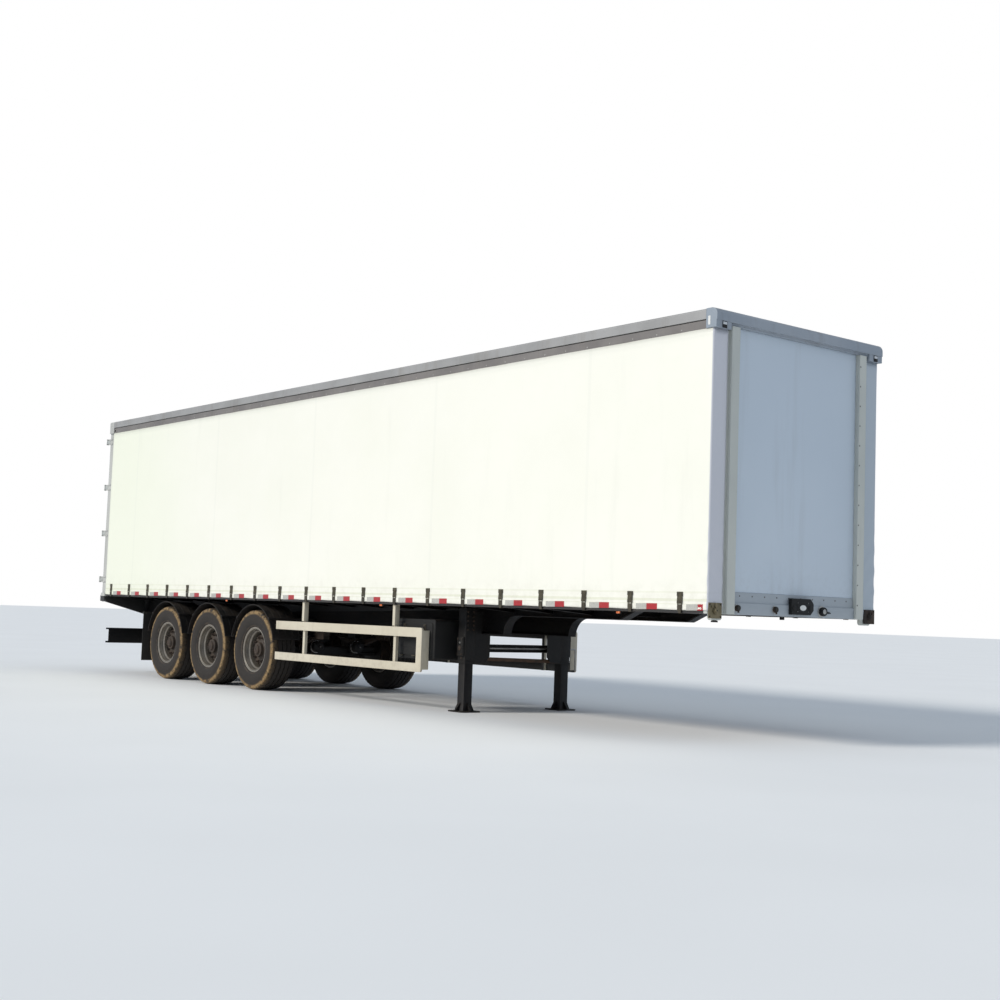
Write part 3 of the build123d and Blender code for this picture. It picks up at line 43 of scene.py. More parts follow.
# Camera, floor and light

view = {
    "place": (15.6394, -11.0335, 1.1404),
    "turn": 140.9223,
    "pitch": 4.5381,
    "roll": 1.9944,
    "lens": 51.678,
    "film": 36.0,
    "farClip": 400.0,
}

studio = {
    "floorSize": 360.0,
    "sunFrom": (-0.30, -1.0, 0.62),
    "sunPower": 2.45,
    "sunSoftness": 14.0,
    "sunColour": (1.0, 0.965, 0.90),
    "fillFrom": (0.8, 0.7, 0.9),
    "fillPower": 0.26,
    "skyColour": (0.76, 0.89, 1.06),
    "skyPower": 0.46,
    "backdrop": (1.0, 1.0, 1.0),
}


def placeCamera():
    turn, pitch, roll = (math.radians(view[key]) for key in ("turn", "pitch", "roll"))
    level = math.cos(pitch)
    ahead = Vector((math.cos(turn) * level, math.sin(turn) * level, math.sin(pitch)))
    across = ahead.cross(Vector((0, 0, 1))).normalized()
    upward = across.cross(ahead)
    right = across * math.cos(roll) + upward * math.sin(roll)
    top = upward * math.cos(roll) - across * math.sin(roll)
    data = bpy.data.cameras.new("camera")
    data.lens = view["lens"]
    data.sensor_width = view["film"]
    data.clip_end = view["farClip"]
    camera = bpy.data.objects.new("camera", data)
    camera.matrix_world = Matrix.Translation(view["place"]) @ Matrix((
        right, top, -ahead,
    )).transposed().to_4x4()
    bpy.context.scene.collection.objects.link(camera)
    bpy.context.scene.camera = camera


def placeSun(name, source, power, softness, colour):
    data = bpy.data.lights.new(name, "SUN")
    data.energy = power
    data.angle = math.radians(softness)
    data.color = colour
    lamp = bpy.data.objects.new(name, data)
    lamp.rotation_euler = Vector(source).to_track_quat("Z", "Y").to_euler()
    bpy.context.scene.collection.objects.link(lamp)


def lightSky():
    world = bpy.data.worlds.new("sky")
    bpy.context.scene.world = world
    world.use_nodes = True
    tree = world.node_tree
    light = tree.nodes["Background"]
    light.inputs["Color"].default_value = (*studio["skyColour"], 1)
    light.inputs["Strength"].default_value = studio["skyPower"]
    seen = tree.nodes.new("ShaderNodeBackground")
    seen.inputs["Color"].default_value = (*studio["backdrop"], 1)
    rays = tree.nodes.new("ShaderNodeLightPath")
    choice = tree.nodes.new("ShaderNodeMixShader")
    tree.links.new(rays.outputs["Is Camera Ray"], choice.inputs["Fac"])
    tree.links.new(light.outputs["Background"], choice.inputs[1])
    tree.links.new(seen.outputs["Background"], choice.inputs[2])
    tree.links.new(choice.outputs["Shader"], tree.nodes["World Output"].inputs["Surface"])


placeCamera()
placeSun("keySun", studio["sunFrom"], studio["sunPower"], studio["sunSoftness"], studio["sunColour"])
placeSun("fillSun", studio["fillFrom"], studio["fillPower"], 60.0, (1, 1, 1))
lightSky()
bpy.context.scene.view_settings.view_transform = "Standard"
print("camera and light placed")


# Shader writing: a wire is one output of a shader node, and sums on it add Math nodes


class Wire:
    def __init__(self, finish, socket):
        self.finish = finish
        self.socket = socket

    def maths(self, operation, *values):
        return self.finish.node("ShaderNodeMath", {"operation": operation}, dict(enumerate(values)))

    def __add__(self, other):
        return self.maths("ADD", self, other)

    def __radd__(self, other):
        return self.maths("ADD", other, self)

    def __sub__(self, other):
        return self.maths("SUBTRACT", self, other)

    def __rsub__(self, other):
        return self.maths("SUBTRACT", other, self)

    def __mul__(self, other):
        return self.maths("MULTIPLY", self, other)

    def __rmul__(self, other):
        return self.maths("MULTIPLY", other, self)

    def __truediv__(self, other):
        return self.maths("DIVIDE", self, other)

    def __pow__(self, other):
        return self.maths("POWER", self, other)

    def __mod__(self, other):
        return self.maths("FLOORED_MODULO", self, other)

    def __gt__(self, other):
        return self.maths("GREATER_THAN", self, other)

    def __lt__(self, other):
        return self.maths("LESS_THAN", self, other)

    def __abs__(self):
        return self.maths("ABSOLUTE", self)


class Finish:
    def __init__(self, name):
        self.material = bpy.data.materials.new(name)
        self.material.use_nodes = True
        self.tree = self.material.node_tree
        self.shader = self.tree.nodes["Principled BSDF"]
        self.place = self.node("ShaderNodeTexCoord", output="Object")
        self.x, self.y, self.z = (
            self.node("ShaderNodeSeparateXYZ", {}, {"Vector": self.place}, axis) for axis in "XYZ"
        )

    def feed(self, socket, value):
        if isinstance(value, Wire):
            self.tree.links.new(value.socket, socket)
        elif isinstance(value, tuple) and len(value) == 3 and len(socket.default_value) == 4:
            socket.default_value = (*value, 1)
        else:
            socket.default_value = value

    def node(self, kind, settings=None, inputs=None, output=0):
        made = self.tree.nodes.new(kind)
        for key, value in (settings or {}).items():
            if key == "stops":
                stops = made.color_ramp.elements
                while len(stops) < len(value):
                    stops.new(1)
                for stop, (position, colour) in zip(stops, value):
                    stop.position = position
                    stop.color = (*colour, 1)
            else:
                setattr(made, key, value)
        for key, value in (inputs or {}).items():
            self.feed(made.inputs[key], value)
        return Wire(self, made.outputs[output])

    def noise(self, scale, detail=3.0, rough=0.5, where=None, output="Fac"):
        inputs = {"Vector": where or self.place, "Scale": scale, "Detail": detail, "Roughness": rough}
        return self.node("ShaderNodeTexNoise", {}, inputs, output)

    def stretched(self, scale, turn=(0, 0, 0)):
        return self.node("ShaderNodeMapping", {}, {"Vector": self.place, "Scale": scale, "Rotation": turn})

    def between(self, value, low, high, bottom=0.0, top=1.0):
        inputs = {"Value": value, "From Min": low, "From Max": high, "To Min": bottom, "To Max": top}
        return self.node("ShaderNodeMapRange", {"interpolation_type": "SMOOTHSTEP"}, inputs)

    def mix(self, factor, first, second, blend="MIX"):
        inputs = {0: factor, 6: first, 7: second}
        return self.node("ShaderNodeMix", {"data_type": "RGBA", "blend_type": blend}, inputs, 2)

    def facing(self, axis="Z"):
        normal = self.node("ShaderNodeNewGeometry", output="Normal")
        return self.node("ShaderNodeSeparateXYZ", {}, {"Vector": normal}, axis)

    def attribute(self, name):
        return self.node("ShaderNodeAttribute", {"attribute_name": name}, {}, "Fac")

    def bump(self, height, distance, strength=1.0, under=None):
        inputs = {"Height": height, "Distance": distance, "Strength": strength}
        if under:
            inputs["Normal"] = under
        return self.node("ShaderNodeBump", {}, inputs)

    def done(self, **sockets):
        for key, value in sockets.items():
            self.feed(self.shader.inputs[" ".join(key.split("_"))], value)
        return self.material


def weatheredPaint(name, colour, tone, dirt, shade=None, **look):
    # paint with broad tone changes, settled dust, rain streaks and a faint orange peel
    finish = Finish(name)
    broad = finish.noise(look.get("broad", 0.9), 4.0, 0.55)
    base = finish.mix(finish.between(broad, 0.3, 0.7), colour, tone)
    streaks = finish.noise(look.get("streakScale", 7.0), 4.0, 0.6, finish.stretched((1.0, 1.0, 0.08)))
    streaks = finish.between(streaks, 0.52, 0.74)
    base = finish.mix(streaks * look.get("streak", 0.12), base, dirt)
    settled = finish.between(finish.facing(), 0.35, 0.95) * finish.between(
        finish.noise(5.0, 5.0, 0.65), 0.25, 0.7,
    )
    low = finish.between(finish.z, look.get("dirtTop", 1.3), look.get("dirtBottom", 0.1))
    grain = finish.between(finish.noise(16.0, 6.0, 0.7), 0.42, 0.72)
    soil = settled * look.get("dust", 0.35) + low * grain * look.get("splash", 0.35)
    base = finish.mix(finish.node("ShaderNodeClamp", {}, {"Value": soil}), base, dirt)
    speck = finish.between(finish.noise(55.0, 5.0, 0.75), 0.66, 0.74)
    base = finish.mix(speck * look.get("chips", 0.2), base, look.get("chip", dirt))
    if shade:
        base = shade(finish, base)
    rough = look["rough"] + soil * 0.35 + streaks * 0.08
    peel = finish.bump(finish.noise(look.get("peel", 160.0), 2.0), look.get("depth", 0.0006), 0.35)
    finish.shader.inputs["Specular IOR Level"].default_value = look.get("gloss", 0.5)
    return finish.done(Base_Color=base, Roughness=rough, Normal=peel, Metallic=look.get("metal", 0.0))


def plasticPaint(name, colour, tone, rough=0.5, grain=240.0):
    finish = Finish(name)
    base = finish.mix(finish.between(finish.noise(4.0, 5.0, 0.6), 0.3, 0.7), colour, tone)
    dust = finish.between(finish.facing(), 0.3, 1.0) * finish.between(finish.noise(14.0, 5.0), 0.35, 0.7)
    base = finish.mix(dust * 0.25, base, (0.14, 0.11, 0.08))
    finish.shader.inputs["Specular IOR Level"].default_value = 0.35
    return finish.done(
        Base_Color=base,
        Roughness=rough + dust * 0.3,
        Normal=finish.bump(finish.noise(grain, 2.0), 0.0005, 0.4),
    )


def lampLens(name, colour, deep):
    # moulded lens with fine ribs
    finish = Finish(name)
    ribs = finish.node(
        "ShaderNodeTexWave",
        {"bands_direction": "DIAGONAL"},
        {"Vector": finish.place, "Scale": 60.0, "Distortion": 0.4},
        "Fac",
    )
    base = finish.mix(finish.between(ribs, 0.2, 0.9), deep, colour)
    finish.shader.inputs["Coat Weight"].default_value = 0.6
    return finish.done(Base_Color=base, Roughness=0.22, Normal=finish.bump(ribs, 0.0012, 0.6))


greyDust = (0.24, 0.20, 0.155)


def tailPaintedShade(finish, colour):
    # painted shade: behind the rear axle the black beams are darkened further, towards black
    tailShadow = finish.between(finish.x, -4.9, -5.3)
    return finish.mix(tailShadow * 0.85, colour, (0.0015, 0.0015, 0.0018))


blackLook = {
    "colour": (0.0065, 0.0065, 0.0075), "tone": (0.012, 0.011, 0.0105), "dirt": (0.070, 0.052, 0.036),
    "rough": 0.50, "dust": 0.40, "splash": 0.16, "streak": 0.08, "chips": 0.2, "chip": (0.12, 0.055, 0.025),
    "gloss": 0.28,
}
chassisBlack = weatheredPaint("chassisBlack", shade=tailPaintedShade, **blackLook)


def guardPaintedShade(finish, colour):
    # painted shade: the guards' inward-facing sides are darkened to near black
    inwardShadow = finish.facing("Y") * finish.y < -0.5
    return finish.mix(inwardShadow, colour, (0.030, 0.028, 0.026))


creamPaint = weatheredPaint(
    "creamPaint", (0.64, 0.585, 0.465), (0.56, 0.505, 0.395), greyDust, guardPaintedShade,
    rough=0.40, dust=0.3, splash=0.30, streak=0.16, chips=0.12, chip=(0.28, 0.15, 0.07),
)


def braceShade(finish, colour):
    # the slanting brace between the legs is brown with dust and rust
    brace = (abs(finish.y) < 0.672) * (finish.z < 0.66)
    rust = finish.between(finish.noise(11.0, 5.0, 0.7), 0.35, 0.65)
    return finish.mix(brace * (0.45 + rust * 0.4), colour, (0.115, 0.062, 0.034))


legPaint = weatheredPaint("legPaint", shade=braceShade, **blackLook)


def wallShade(finish, colour):
    low = finish.z < 1.4205
    return finish.mix(low * 0.85, colour, (0.345, 0.375, 0.400))


pillarPaint = weatheredPaint(
    "pillarPaint", (0.56, 0.575, 0.53), (0.49, 0.51, 0.48), (0.24, 0.22, 0.18),
    rough=0.40, dust=0.25, splash=0.30, streak=0.16, chips=0.12, chip=(0.28, 0.15, 0.07),
)
wallPaint = weatheredPaint(
    "wallPaint", (0.585, 0.660, 0.735), (0.545, 0.620, 0.700), (0.34, 0.36, 0.37), wallShade,
    broad=0.5, rough=0.38, dust=0.2, splash=0.2, streak=0.22, chips=0.05, streakScale=4.0, dirtTop=1.9,
    dirtBottom=1.2,
)
headerPaint = weatheredPaint(
    "headerPaint", (0.27, 0.31, 0.36), (0.33, 0.365, 0.41), (0.16, 0.15, 0.14),
    rough=0.36, dust=0.4, streak=0.3, chips=0.12,
)
railPaint = weatheredPaint(
    "railPaint", (0.020, 0.018, 0.018), (0.038, 0.033, 0.030), (0.14, 0.11, 0.08),
    rough=0.5, dust=0.4, splash=0.3, streak=0.2,
)


def frameShade(finish, colour):
    # below the floor the frame is darkened to near black
    return finish.mix((finish.z < 1.2095) * 0.97, colour, (0.004, 0.004, 0.0045))


framePaint = weatheredPaint(
    "framePaint", (0.50, 0.50, 0.475), (0.43, 0.43, 0.41), (0.085, 0.070, 0.055), frameShade,
    rough=0.42, dust=0.35, splash=0.3, streak=0.35, chips=0.2,
)
doorPaint = weatheredPaint(
    "doorPaint", (0.66, 0.67, 0.64), (0.60, 0.61, 0.585), (0.27, 0.24, 0.19),
    rough=0.38, dust=0.25, splash=0.5, streak=0.3, dirtTop=2.4, dirtBottom=1.1,
)
rodSteel = weatheredPaint(
    "rodSteel", (0.46, 0.46, 0.44), (0.36, 0.355, 0.34), (0.20, 0.13, 0.08),
    metal=0.75, rough=0.36, dust=0.3, splash=0.5, streak=0.3, broad=6.0,
)
springSteel = weatheredPaint(
    "springSteel", (0.014, 0.012, 0.011), (0.034, 0.022, 0.015), (0.085, 0.058, 0.036),
    gloss=0.3, rough=0.62, dust=0.55, splash=0.5, broad=5.0, chips=0.4, chip=(0.20, 0.08, 0.03),
)
strapSteel = weatheredPaint(
    "strapSteel", (0.040, 0.034, 0.024), (0.080, 0.066, 0.044), (0.17, 0.14, 0.09),
    metal=0.35, rough=0.42, dust=0.4, splash=0.2, broad=9.0, chips=0.3, chip=(0.42, 0.40, 0.36),
)
oliveSteel = weatheredPaint(
    "oliveSteel", (0.15, 0.125, 0.065), (0.21, 0.17, 0.095), (0.25, 0.19, 0.12),
    metal=0.3, rough=0.45, dust=0.4, splash=0.3, broad=14.0, chips=0.4, chip=(0.10, 0.05, 0.03),
)
rivetSteel = weatheredPaint(
    "rivetSteel", (0.20, 0.20, 0.195), (0.12, 0.115, 0.11), (0.10, 0.07, 0.05),
    metal=0.6, rough=0.4, dust=0.3, broad=12.0,
)


def rimPaintedShade(finish, colour):
    # the distance from the nearest of the three wheel centres, 1.31 m apart
    across = (finish.x + 2.34) % 1.31 - 0.655
    rise = finish.z - 0.5425
    reach = (across * across + rise * rise) ** 0.5
    # painted shade: darker rings at the bead seat, across the slope and in the well, leaving bright bands
    # between
    shadedRings = finish.between(
        abs(reach - 0.2895), 0.0060, 0.0015,
    ) + finish.between(abs(reach - 0.2680), 0.012, 0.004)
    shadedRings = shadedRings + finish.between(reach, 0.2480, 0.2400)
    return finish.mix(shadedRings * 0.8, colour, (0.035, 0.028, 0.022))


wheelSilver = weatheredPaint(
    "wheelSilver", (0.37, 0.335, 0.285), (0.27, 0.235, 0.19), (0.10, 0.072, 0.048), rimPaintedShade,
    rough=0.30, dust=0.25, splash=0.50, broad=3.0, chips=0.3, streakScale=12.0, metal=0.45,
)
wheelBrown = weatheredPaint(
    "wheelBrown", (0.028, 0.022, 0.018), (0.060, 0.044, 0.033), (0.085, 0.060, 0.040),
    gloss=0.35, rough=0.6, dust=0.4, splash=0.5, broad=6.0, chips=0.3, chip=(0.03, 0.02, 0.016),
)
drumIron = weatheredPaint(
    "drumIron", (0.022, 0.016, 0.013), (0.050, 0.032, 0.022), (0.090, 0.062, 0.040),
    gloss=0.4, rough=0.72, dust=0.4, splash=0.4, broad=8.0,
)
blackPlastic = plasticPaint("blackPlastic", (0.006, 0.006, 0.0065), (0.011, 0.0105, 0.010), 0.60)
guardPlastic = plasticPaint("guardPlastic", (0.007, 0.007, 0.007), (0.017, 0.013, 0.011), 0.66, 120.0)
flapRubber = plasticPaint("flapRubber", (0.022, 0.021, 0.020), (0.040, 0.036, 0.031), 0.7, 90.0)
whitePlastic = plasticPaint("whitePlastic", (0.72, 0.72, 0.70), (0.62, 0.62, 0.60), 0.35)
amberLens = lampLens("amberLens", (0.85, 0.20, 0.02), (0.42, 0.07, 0.008))
redLens = lampLens("redLens", (0.62, 0.022, 0.016), (0.26, 0.008, 0.006))
clearLens = lampLens("clearLens", (0.78, 0.80, 0.82), (0.42, 0.45, 0.48))
print("paints mixed")


def clothFinish():
    # coated cloth: a square weave, sewn bands above the hem, welded panels, a little grime low down, and
    # painted shade under the roof rail and on the wrap round the front corner
    finish = Finish("curtainCloth")
    height = finish.z
    broad = finish.between(finish.noise(0.7, 4.0, 0.6), 0.3, 0.7)
    colour = finish.mix(broad, (0.860, 0.845, 0.765), (0.835, 0.825, 0.735))
    colour = finish.mix(finish.between(finish.x, -2.5, -6.2) * 0.6, colour, (0.800, 0.830, 0.670))
    hem = (abs(height - 1.402) < 0.009) * 0.5 + (abs(height - 1.330) < 0.012)
    hem = hem + (abs(height - 1.292) < 0.005) * 0.6
    colour = finish.mix(hem * 0.40, colour, (0.60, 0.62, 0.42))
    weld = abs((finish.x + 6.47 + 0.35) % 2.62 - 1.31) < 0.022
    colour = finish.mix(weld * 0.10, colour, (0.62, 0.64, 0.58))
    streaks = finish.between(finish.noise(3.2, 5.0, 0.62, finish.stretched((1.0, 1.0, 0.10))), 0.56, 0.80)
    colour = finish.mix(streaks * 0.14, colour, (0.50, 0.52, 0.44))
    low = finish.between(height, 1.62, 1.24) * finish.between(finish.noise(9.0, 6.0, 0.7), 0.38, 0.75)
    colour = finish.mix(low * 0.22, colour, (0.36, 0.33, 0.25))
    # painted shade: a grey band along the top of the cloth, under the roof rail
    top = finish.between(height, 3.76, 3.86) * 0.25
    colour = finish.mix(top, colour, (0.42, 0.42, 0.37))
    # painted shade: the wrap round the front corner turns bluish grey, darker on the far side
    front = finish.between(finish.x, 6.632, 6.640)
    shade = finish.mix(finish.y > 0.0, (0.56, 0.57, 0.64), (0.36, 0.43, 0.51))
    colour = finish.mix(front * 0.85, colour, shade)
    scale = 900.0
    warp = finish.node("ShaderNodeMath", {"operation": "SINE"}, {0: finish.x * scale})
    weft = finish.node("ShaderNodeMath", {"operation": "SINE"}, {0: height * scale})
    weave = finish.bump(warp * weft, 0.0002, 0.25)
    seam = finish.bump(hem + weld * 0.5, 0.0015, 0.6, weave)
    puckers = finish.bump(finish.noise(3.0, 4.0, 0.55, finish.stretched((1.6, 1.6, 0.5))), 0.010, 0.30, seam)
    finish.shader.inputs["Sheen Weight"].default_value = 0.12
    return finish.done(Base_Color=colour, Roughness=0.44 + low * 0.2, Normal=puckers)


def roofRailFinish():
    # pressed rail: a light upper band over painted shade, a dark line in the groove and a darker lower band
    # in the recess
    finish = Finish("roofRailMetal")
    height = finish.z
    light = finish.mix(
        finish.between(finish.noise(2.0, 4.0), 0.3, 0.7), (0.37, 0.365, 0.360), (0.31, 0.305, 0.300),
    )
    recessShade = finish.mix(
        finish.between(finish.noise(2.6, 4.0), 0.3, 0.7), (0.180, 0.165, 0.158), (0.23, 0.212, 0.20),
    )
    # painted shade: below the groove the rail takes the darker band, and the groove itself a dark line
    colour = finish.mix(height > 3.9465, recessShade, light)
    colour = finish.mix(abs(height - 3.9445) < 0.0045, colour, (0.045, 0.040, 0.036))
    streaks = finish.between(finish.noise(6.0, 5.0, 0.65, finish.stretched((1.0, 1.0, 0.15))), 0.5, 0.75)
    colour = finish.mix(streaks * 0.3, colour, (0.15, 0.135, 0.12))
    dust = finish.between(finish.facing(), 0.4, 0.95) * finish.between(finish.noise(7.0, 5.0), 0.3, 0.7)
    colour = finish.mix(dust * 0.4, colour, (0.25, 0.23, 0.20))
    return finish.done(
        Base_Color=colour,
        Roughness=0.42 + streaks * 0.2,
        Metallic=0.25,
        Normal=finish.bump(finish.noise(26.0, 3.0), 0.0012, 0.35),
    )


def roofFinish():
    # translucent-looking roof sheet: shade lines over the bows, dust and water marks
    finish = Finish("roofSheet")
    line = abs((finish.x + 0.7425) % 1.485 - 0.7425)
    bows = finish.between(line, 0.06, 0.015)
    colour = finish.mix(bows * 0.5, (0.70, 0.705, 0.67), (0.50, 0.50, 0.47))
    stain = finish.between(finish.noise(1.6, 6.0, 0.65), 0.45, 0.72)
    colour = finish.mix(stain * 0.35, colour, (0.36, 0.33, 0.26))
    spots = finish.between(finish.noise(12.0, 5.0, 0.7), 0.55, 0.75)
    colour = finish.mix(spots * 0.3, colour, (0.28, 0.25, 0.20))
    sag = finish.bump(bows + finish.noise(1.1, 2.0) * 0.6, 0.012, 0.5)
    return finish.done(Base_Color=colour, Roughness=0.45 + spots * 0.2, Normal=sag)


def deckFinish():
    # film-faced plywood with long boards seen from below and inside
    finish = Finish("deckWood")
    boards = (finish.y + 0.5) % 0.30
    joint = boards < 0.004
    grain = finish.noise(30.0, 6.0, 0.65, finish.stretched((0.08, 1.0, 1.0)))
    colour = finish.mix(finish.between(grain, 0.3, 0.7), (0.105, 0.062, 0.036), (0.18, 0.115, 0.068))
    colour = finish.mix(joint * 0.9, colour, (0.02, 0.014, 0.01))
    return finish.done(Base_Color=colour, Roughness=0.6, Normal=finish.bump(grain - joint, 0.0015, 0.5))


def greasedSteel():
    # bare plate with black grease smeared round the pin
    finish = Finish("greasedSteel")
    across = finish.node(
        "ShaderNodeVectorMath", {"operation": "DISTANCE"}, {0: finish.place, 1: (5.6, 0, 1.2)}, "Value",
    )
    smear = finish.between(across, 0.62, 0.15) * finish.between(finish.noise(7.0, 5.0, 0.7), 0.25, 0.62)
    rust = finish.between(finish.noise(5.0, 6.0, 0.7), 0.42, 0.66)
    colour = finish.mix(rust * 0.8, (0.17, 0.16, 0.15), (0.15, 0.065, 0.028))
    colour = finish.mix(smear, colour, (0.010, 0.009, 0.008))
    return finish.done(
        Base_Color=colour,
        Roughness=0.62 - smear * 0.35,
        Metallic=0.6 - rust * 0.5,
        Normal=finish.bump(finish.noise(40.0, 4.0), 0.001, 0.5),
    )


def tyreFinish():
    # rubber by its distance from the hub: mud on the shoulder, dry dust on the wall, grime in the tread
    finish = Finish("tyreRubber")
    reach = finish.attribute("hubReach")
    clods = finish.noise(13.0, 6.0, 0.72)
    fine = finish.noise(70.0, 5.0, 0.7)
    colour = finish.mix(finish.between(fine, 0.3, 0.7), (0.019, 0.017, 0.016), (0.033, 0.028, 0.025))
    wall = finish.between(
        reach, 0.31, 0.40,
    ) * finish.between(reach, 0.50, 0.44) * finish.between(clods, 0.30, 0.62)
    colour = finish.mix(wall * 0.5, colour, (0.038, 0.031, 0.026))
    outer = finish.between(abs(finish.y), 1.10, 1.19)
    ring = finish.between(abs(reach - 0.508), 0.040, 0.010) * finish.between(clods, 0.36, 0.54) * outer
    caking = finish.mix(finish.between(fine, 0.35, 0.65), (0.21, 0.125, 0.060), (0.36, 0.255, 0.125))
    colour = finish.mix(ring * 0.9, colour, caking)
    tread = finish.between(reach, 0.520, 0.538) * finish.between(fine, 0.35, 0.65)
    colour = finish.mix(tread * 0.35, colour, (0.034, 0.027, 0.021))
    finish.shader.inputs["Specular IOR Level"].default_value = 0.25
    bead = finish.between(abs(reach - 0.322), 0.014, 0.004) * finish.between(clods, 0.40, 0.60)
    colour = finish.mix(bead * 0.35, colour, (0.13, 0.095, 0.065))
    caked = ring * 0.8 + wall * 0.2
    return finish.done(
        Base_Color=colour,
        Roughness=0.70 + caked * 0.2,
        Normal=finish.bump(clods * caked + fine * 0.25, 0.004, 0.6),
    )


def tapeFinish(name, colour, tone):
    # reflective tape with a honeycomb of small cells
    finish = Finish(name)
    cells = finish.node(
        "ShaderNodeTexVoronoi", {"feature": "DISTANCE_TO_EDGE"}, {
            "Vector": finish.place, "Scale": 220.0,
        }, "Distance"
    )
    base = finish.mix(finish.between(cells, 0.0, 0.12), tone, colour)
    grime = finish.between(finish.noise(22.0, 5.0, 0.7), 0.52, 0.74)
    base = finish.mix(grime * 0.35, base, (0.20, 0.16, 0.12))
    finish.shader.inputs["Coat Weight"].default_value = 0.4
    return finish.done(Base_Color=base, Roughness=0.3 + grime * 0.3, Normal=finish.bump(cells, 0.0004, 0.3))


def webbingFinish():
    # woven strap: ribs across and worn light patches
    finish = Finish("strapWebbing")
    ribs = finish.node("ShaderNodeMath", {"operation": "SINE"}, {0: finish.z * 1400.0})
    worn = finish.between(finish.noise(24.0, 5.0, 0.7), 0.4, 0.7)
    colour = finish.mix(worn, (0.040, 0.034, 0.020), (0.085, 0.072, 0.045))
    return finish.done(Base_Color=colour, Roughness=0.8, Normal=finish.bump(ribs, 0.0006, 0.5))


def floorFinish():
    finish = Finish("paleFloor")
    tone = finish.mix(
        finish.between(finish.noise(0.4, 2.0), 0.2, 0.8), (0.86, 0.86, 0.855), (0.885, 0.885, 0.88),
    )
    return finish.done(Base_Color=tone, Roughness=0.8)


curtainCloth = clothFinish()
roofRailMetal = roofRailFinish()
roofSheet = roofFinish()
deckWood = deckFinish()
pinSteel = greasedSteel()
tyreRubber = tyreFinish()
whiteTape = tapeFinish("whiteTape", (0.50, 0.49, 0.45), (0.34, 0.33, 0.30))
redTape = tapeFinish("redTape", (0.44, 0.020, 0.024), (0.28, 0.012, 0.014))
strapWebbing = webbingFinish()
print("finishes written")


def dressNodes():
    # every CAD node that stays in sight takes its finish
    dressed = {
        chassisBlack: (
            "main_beams", "cross_members", "axles", "mudguards", "underrun_beam", "landing_shaft",
            "landing_legs", "landing_feet", "air_tanks", "toolbox",
        ),
        pinSteel: ("coupler_plate", "kingpin"),
        springSteel: ("leaf_springs", "spring_hangers"),
        blackPlastic: ("service_connectors",),
        deckWood: ("floor",),
        wallPaint: ("bulkhead_panel", "bulkhead_rail"),
        creamPaint: ("side_guard_left", "side_guard_right"),
        pillarPaint: ("bulkhead_pillars",),
        headerPaint: ("front_header",),
        roofSheet: ("roof_skin",),
        roofRailMetal: ("roof_rails",),
        rodSteel: ("roof_bows", "side_posts", "door_locks_left", "door_locks_right"),
        railPaint: ("side_rails",),
        framePaint: ("rear_frame",),
        doorPaint: ("door_left", "door_right"),
        strapSteel: ("curtain_buckles", "curtain_tensioners"),
        flapRubber: ("mudflaps", "dock_buffers"),
        amberLens: ("marker_lamps",),
        redLens: ("tail_lamps",),
        curtainCloth: ("curtain_left", "curtain_right"),
        tyreRubber: tuple(name for name in nodes if name.startswith("tyre_")),
        wheelSilver: tuple(name for name in nodes if name.startswith("rim_")),
    }
    for material, names in dressed.items():
        for name in names:
            nodes[name].data.materials.clear()
            nodes[name].data.materials.append(material)


dressNodes()
print("CAD nodes dressed")


# Shape making: a bench gathers shapes into one mesh, each with its finish


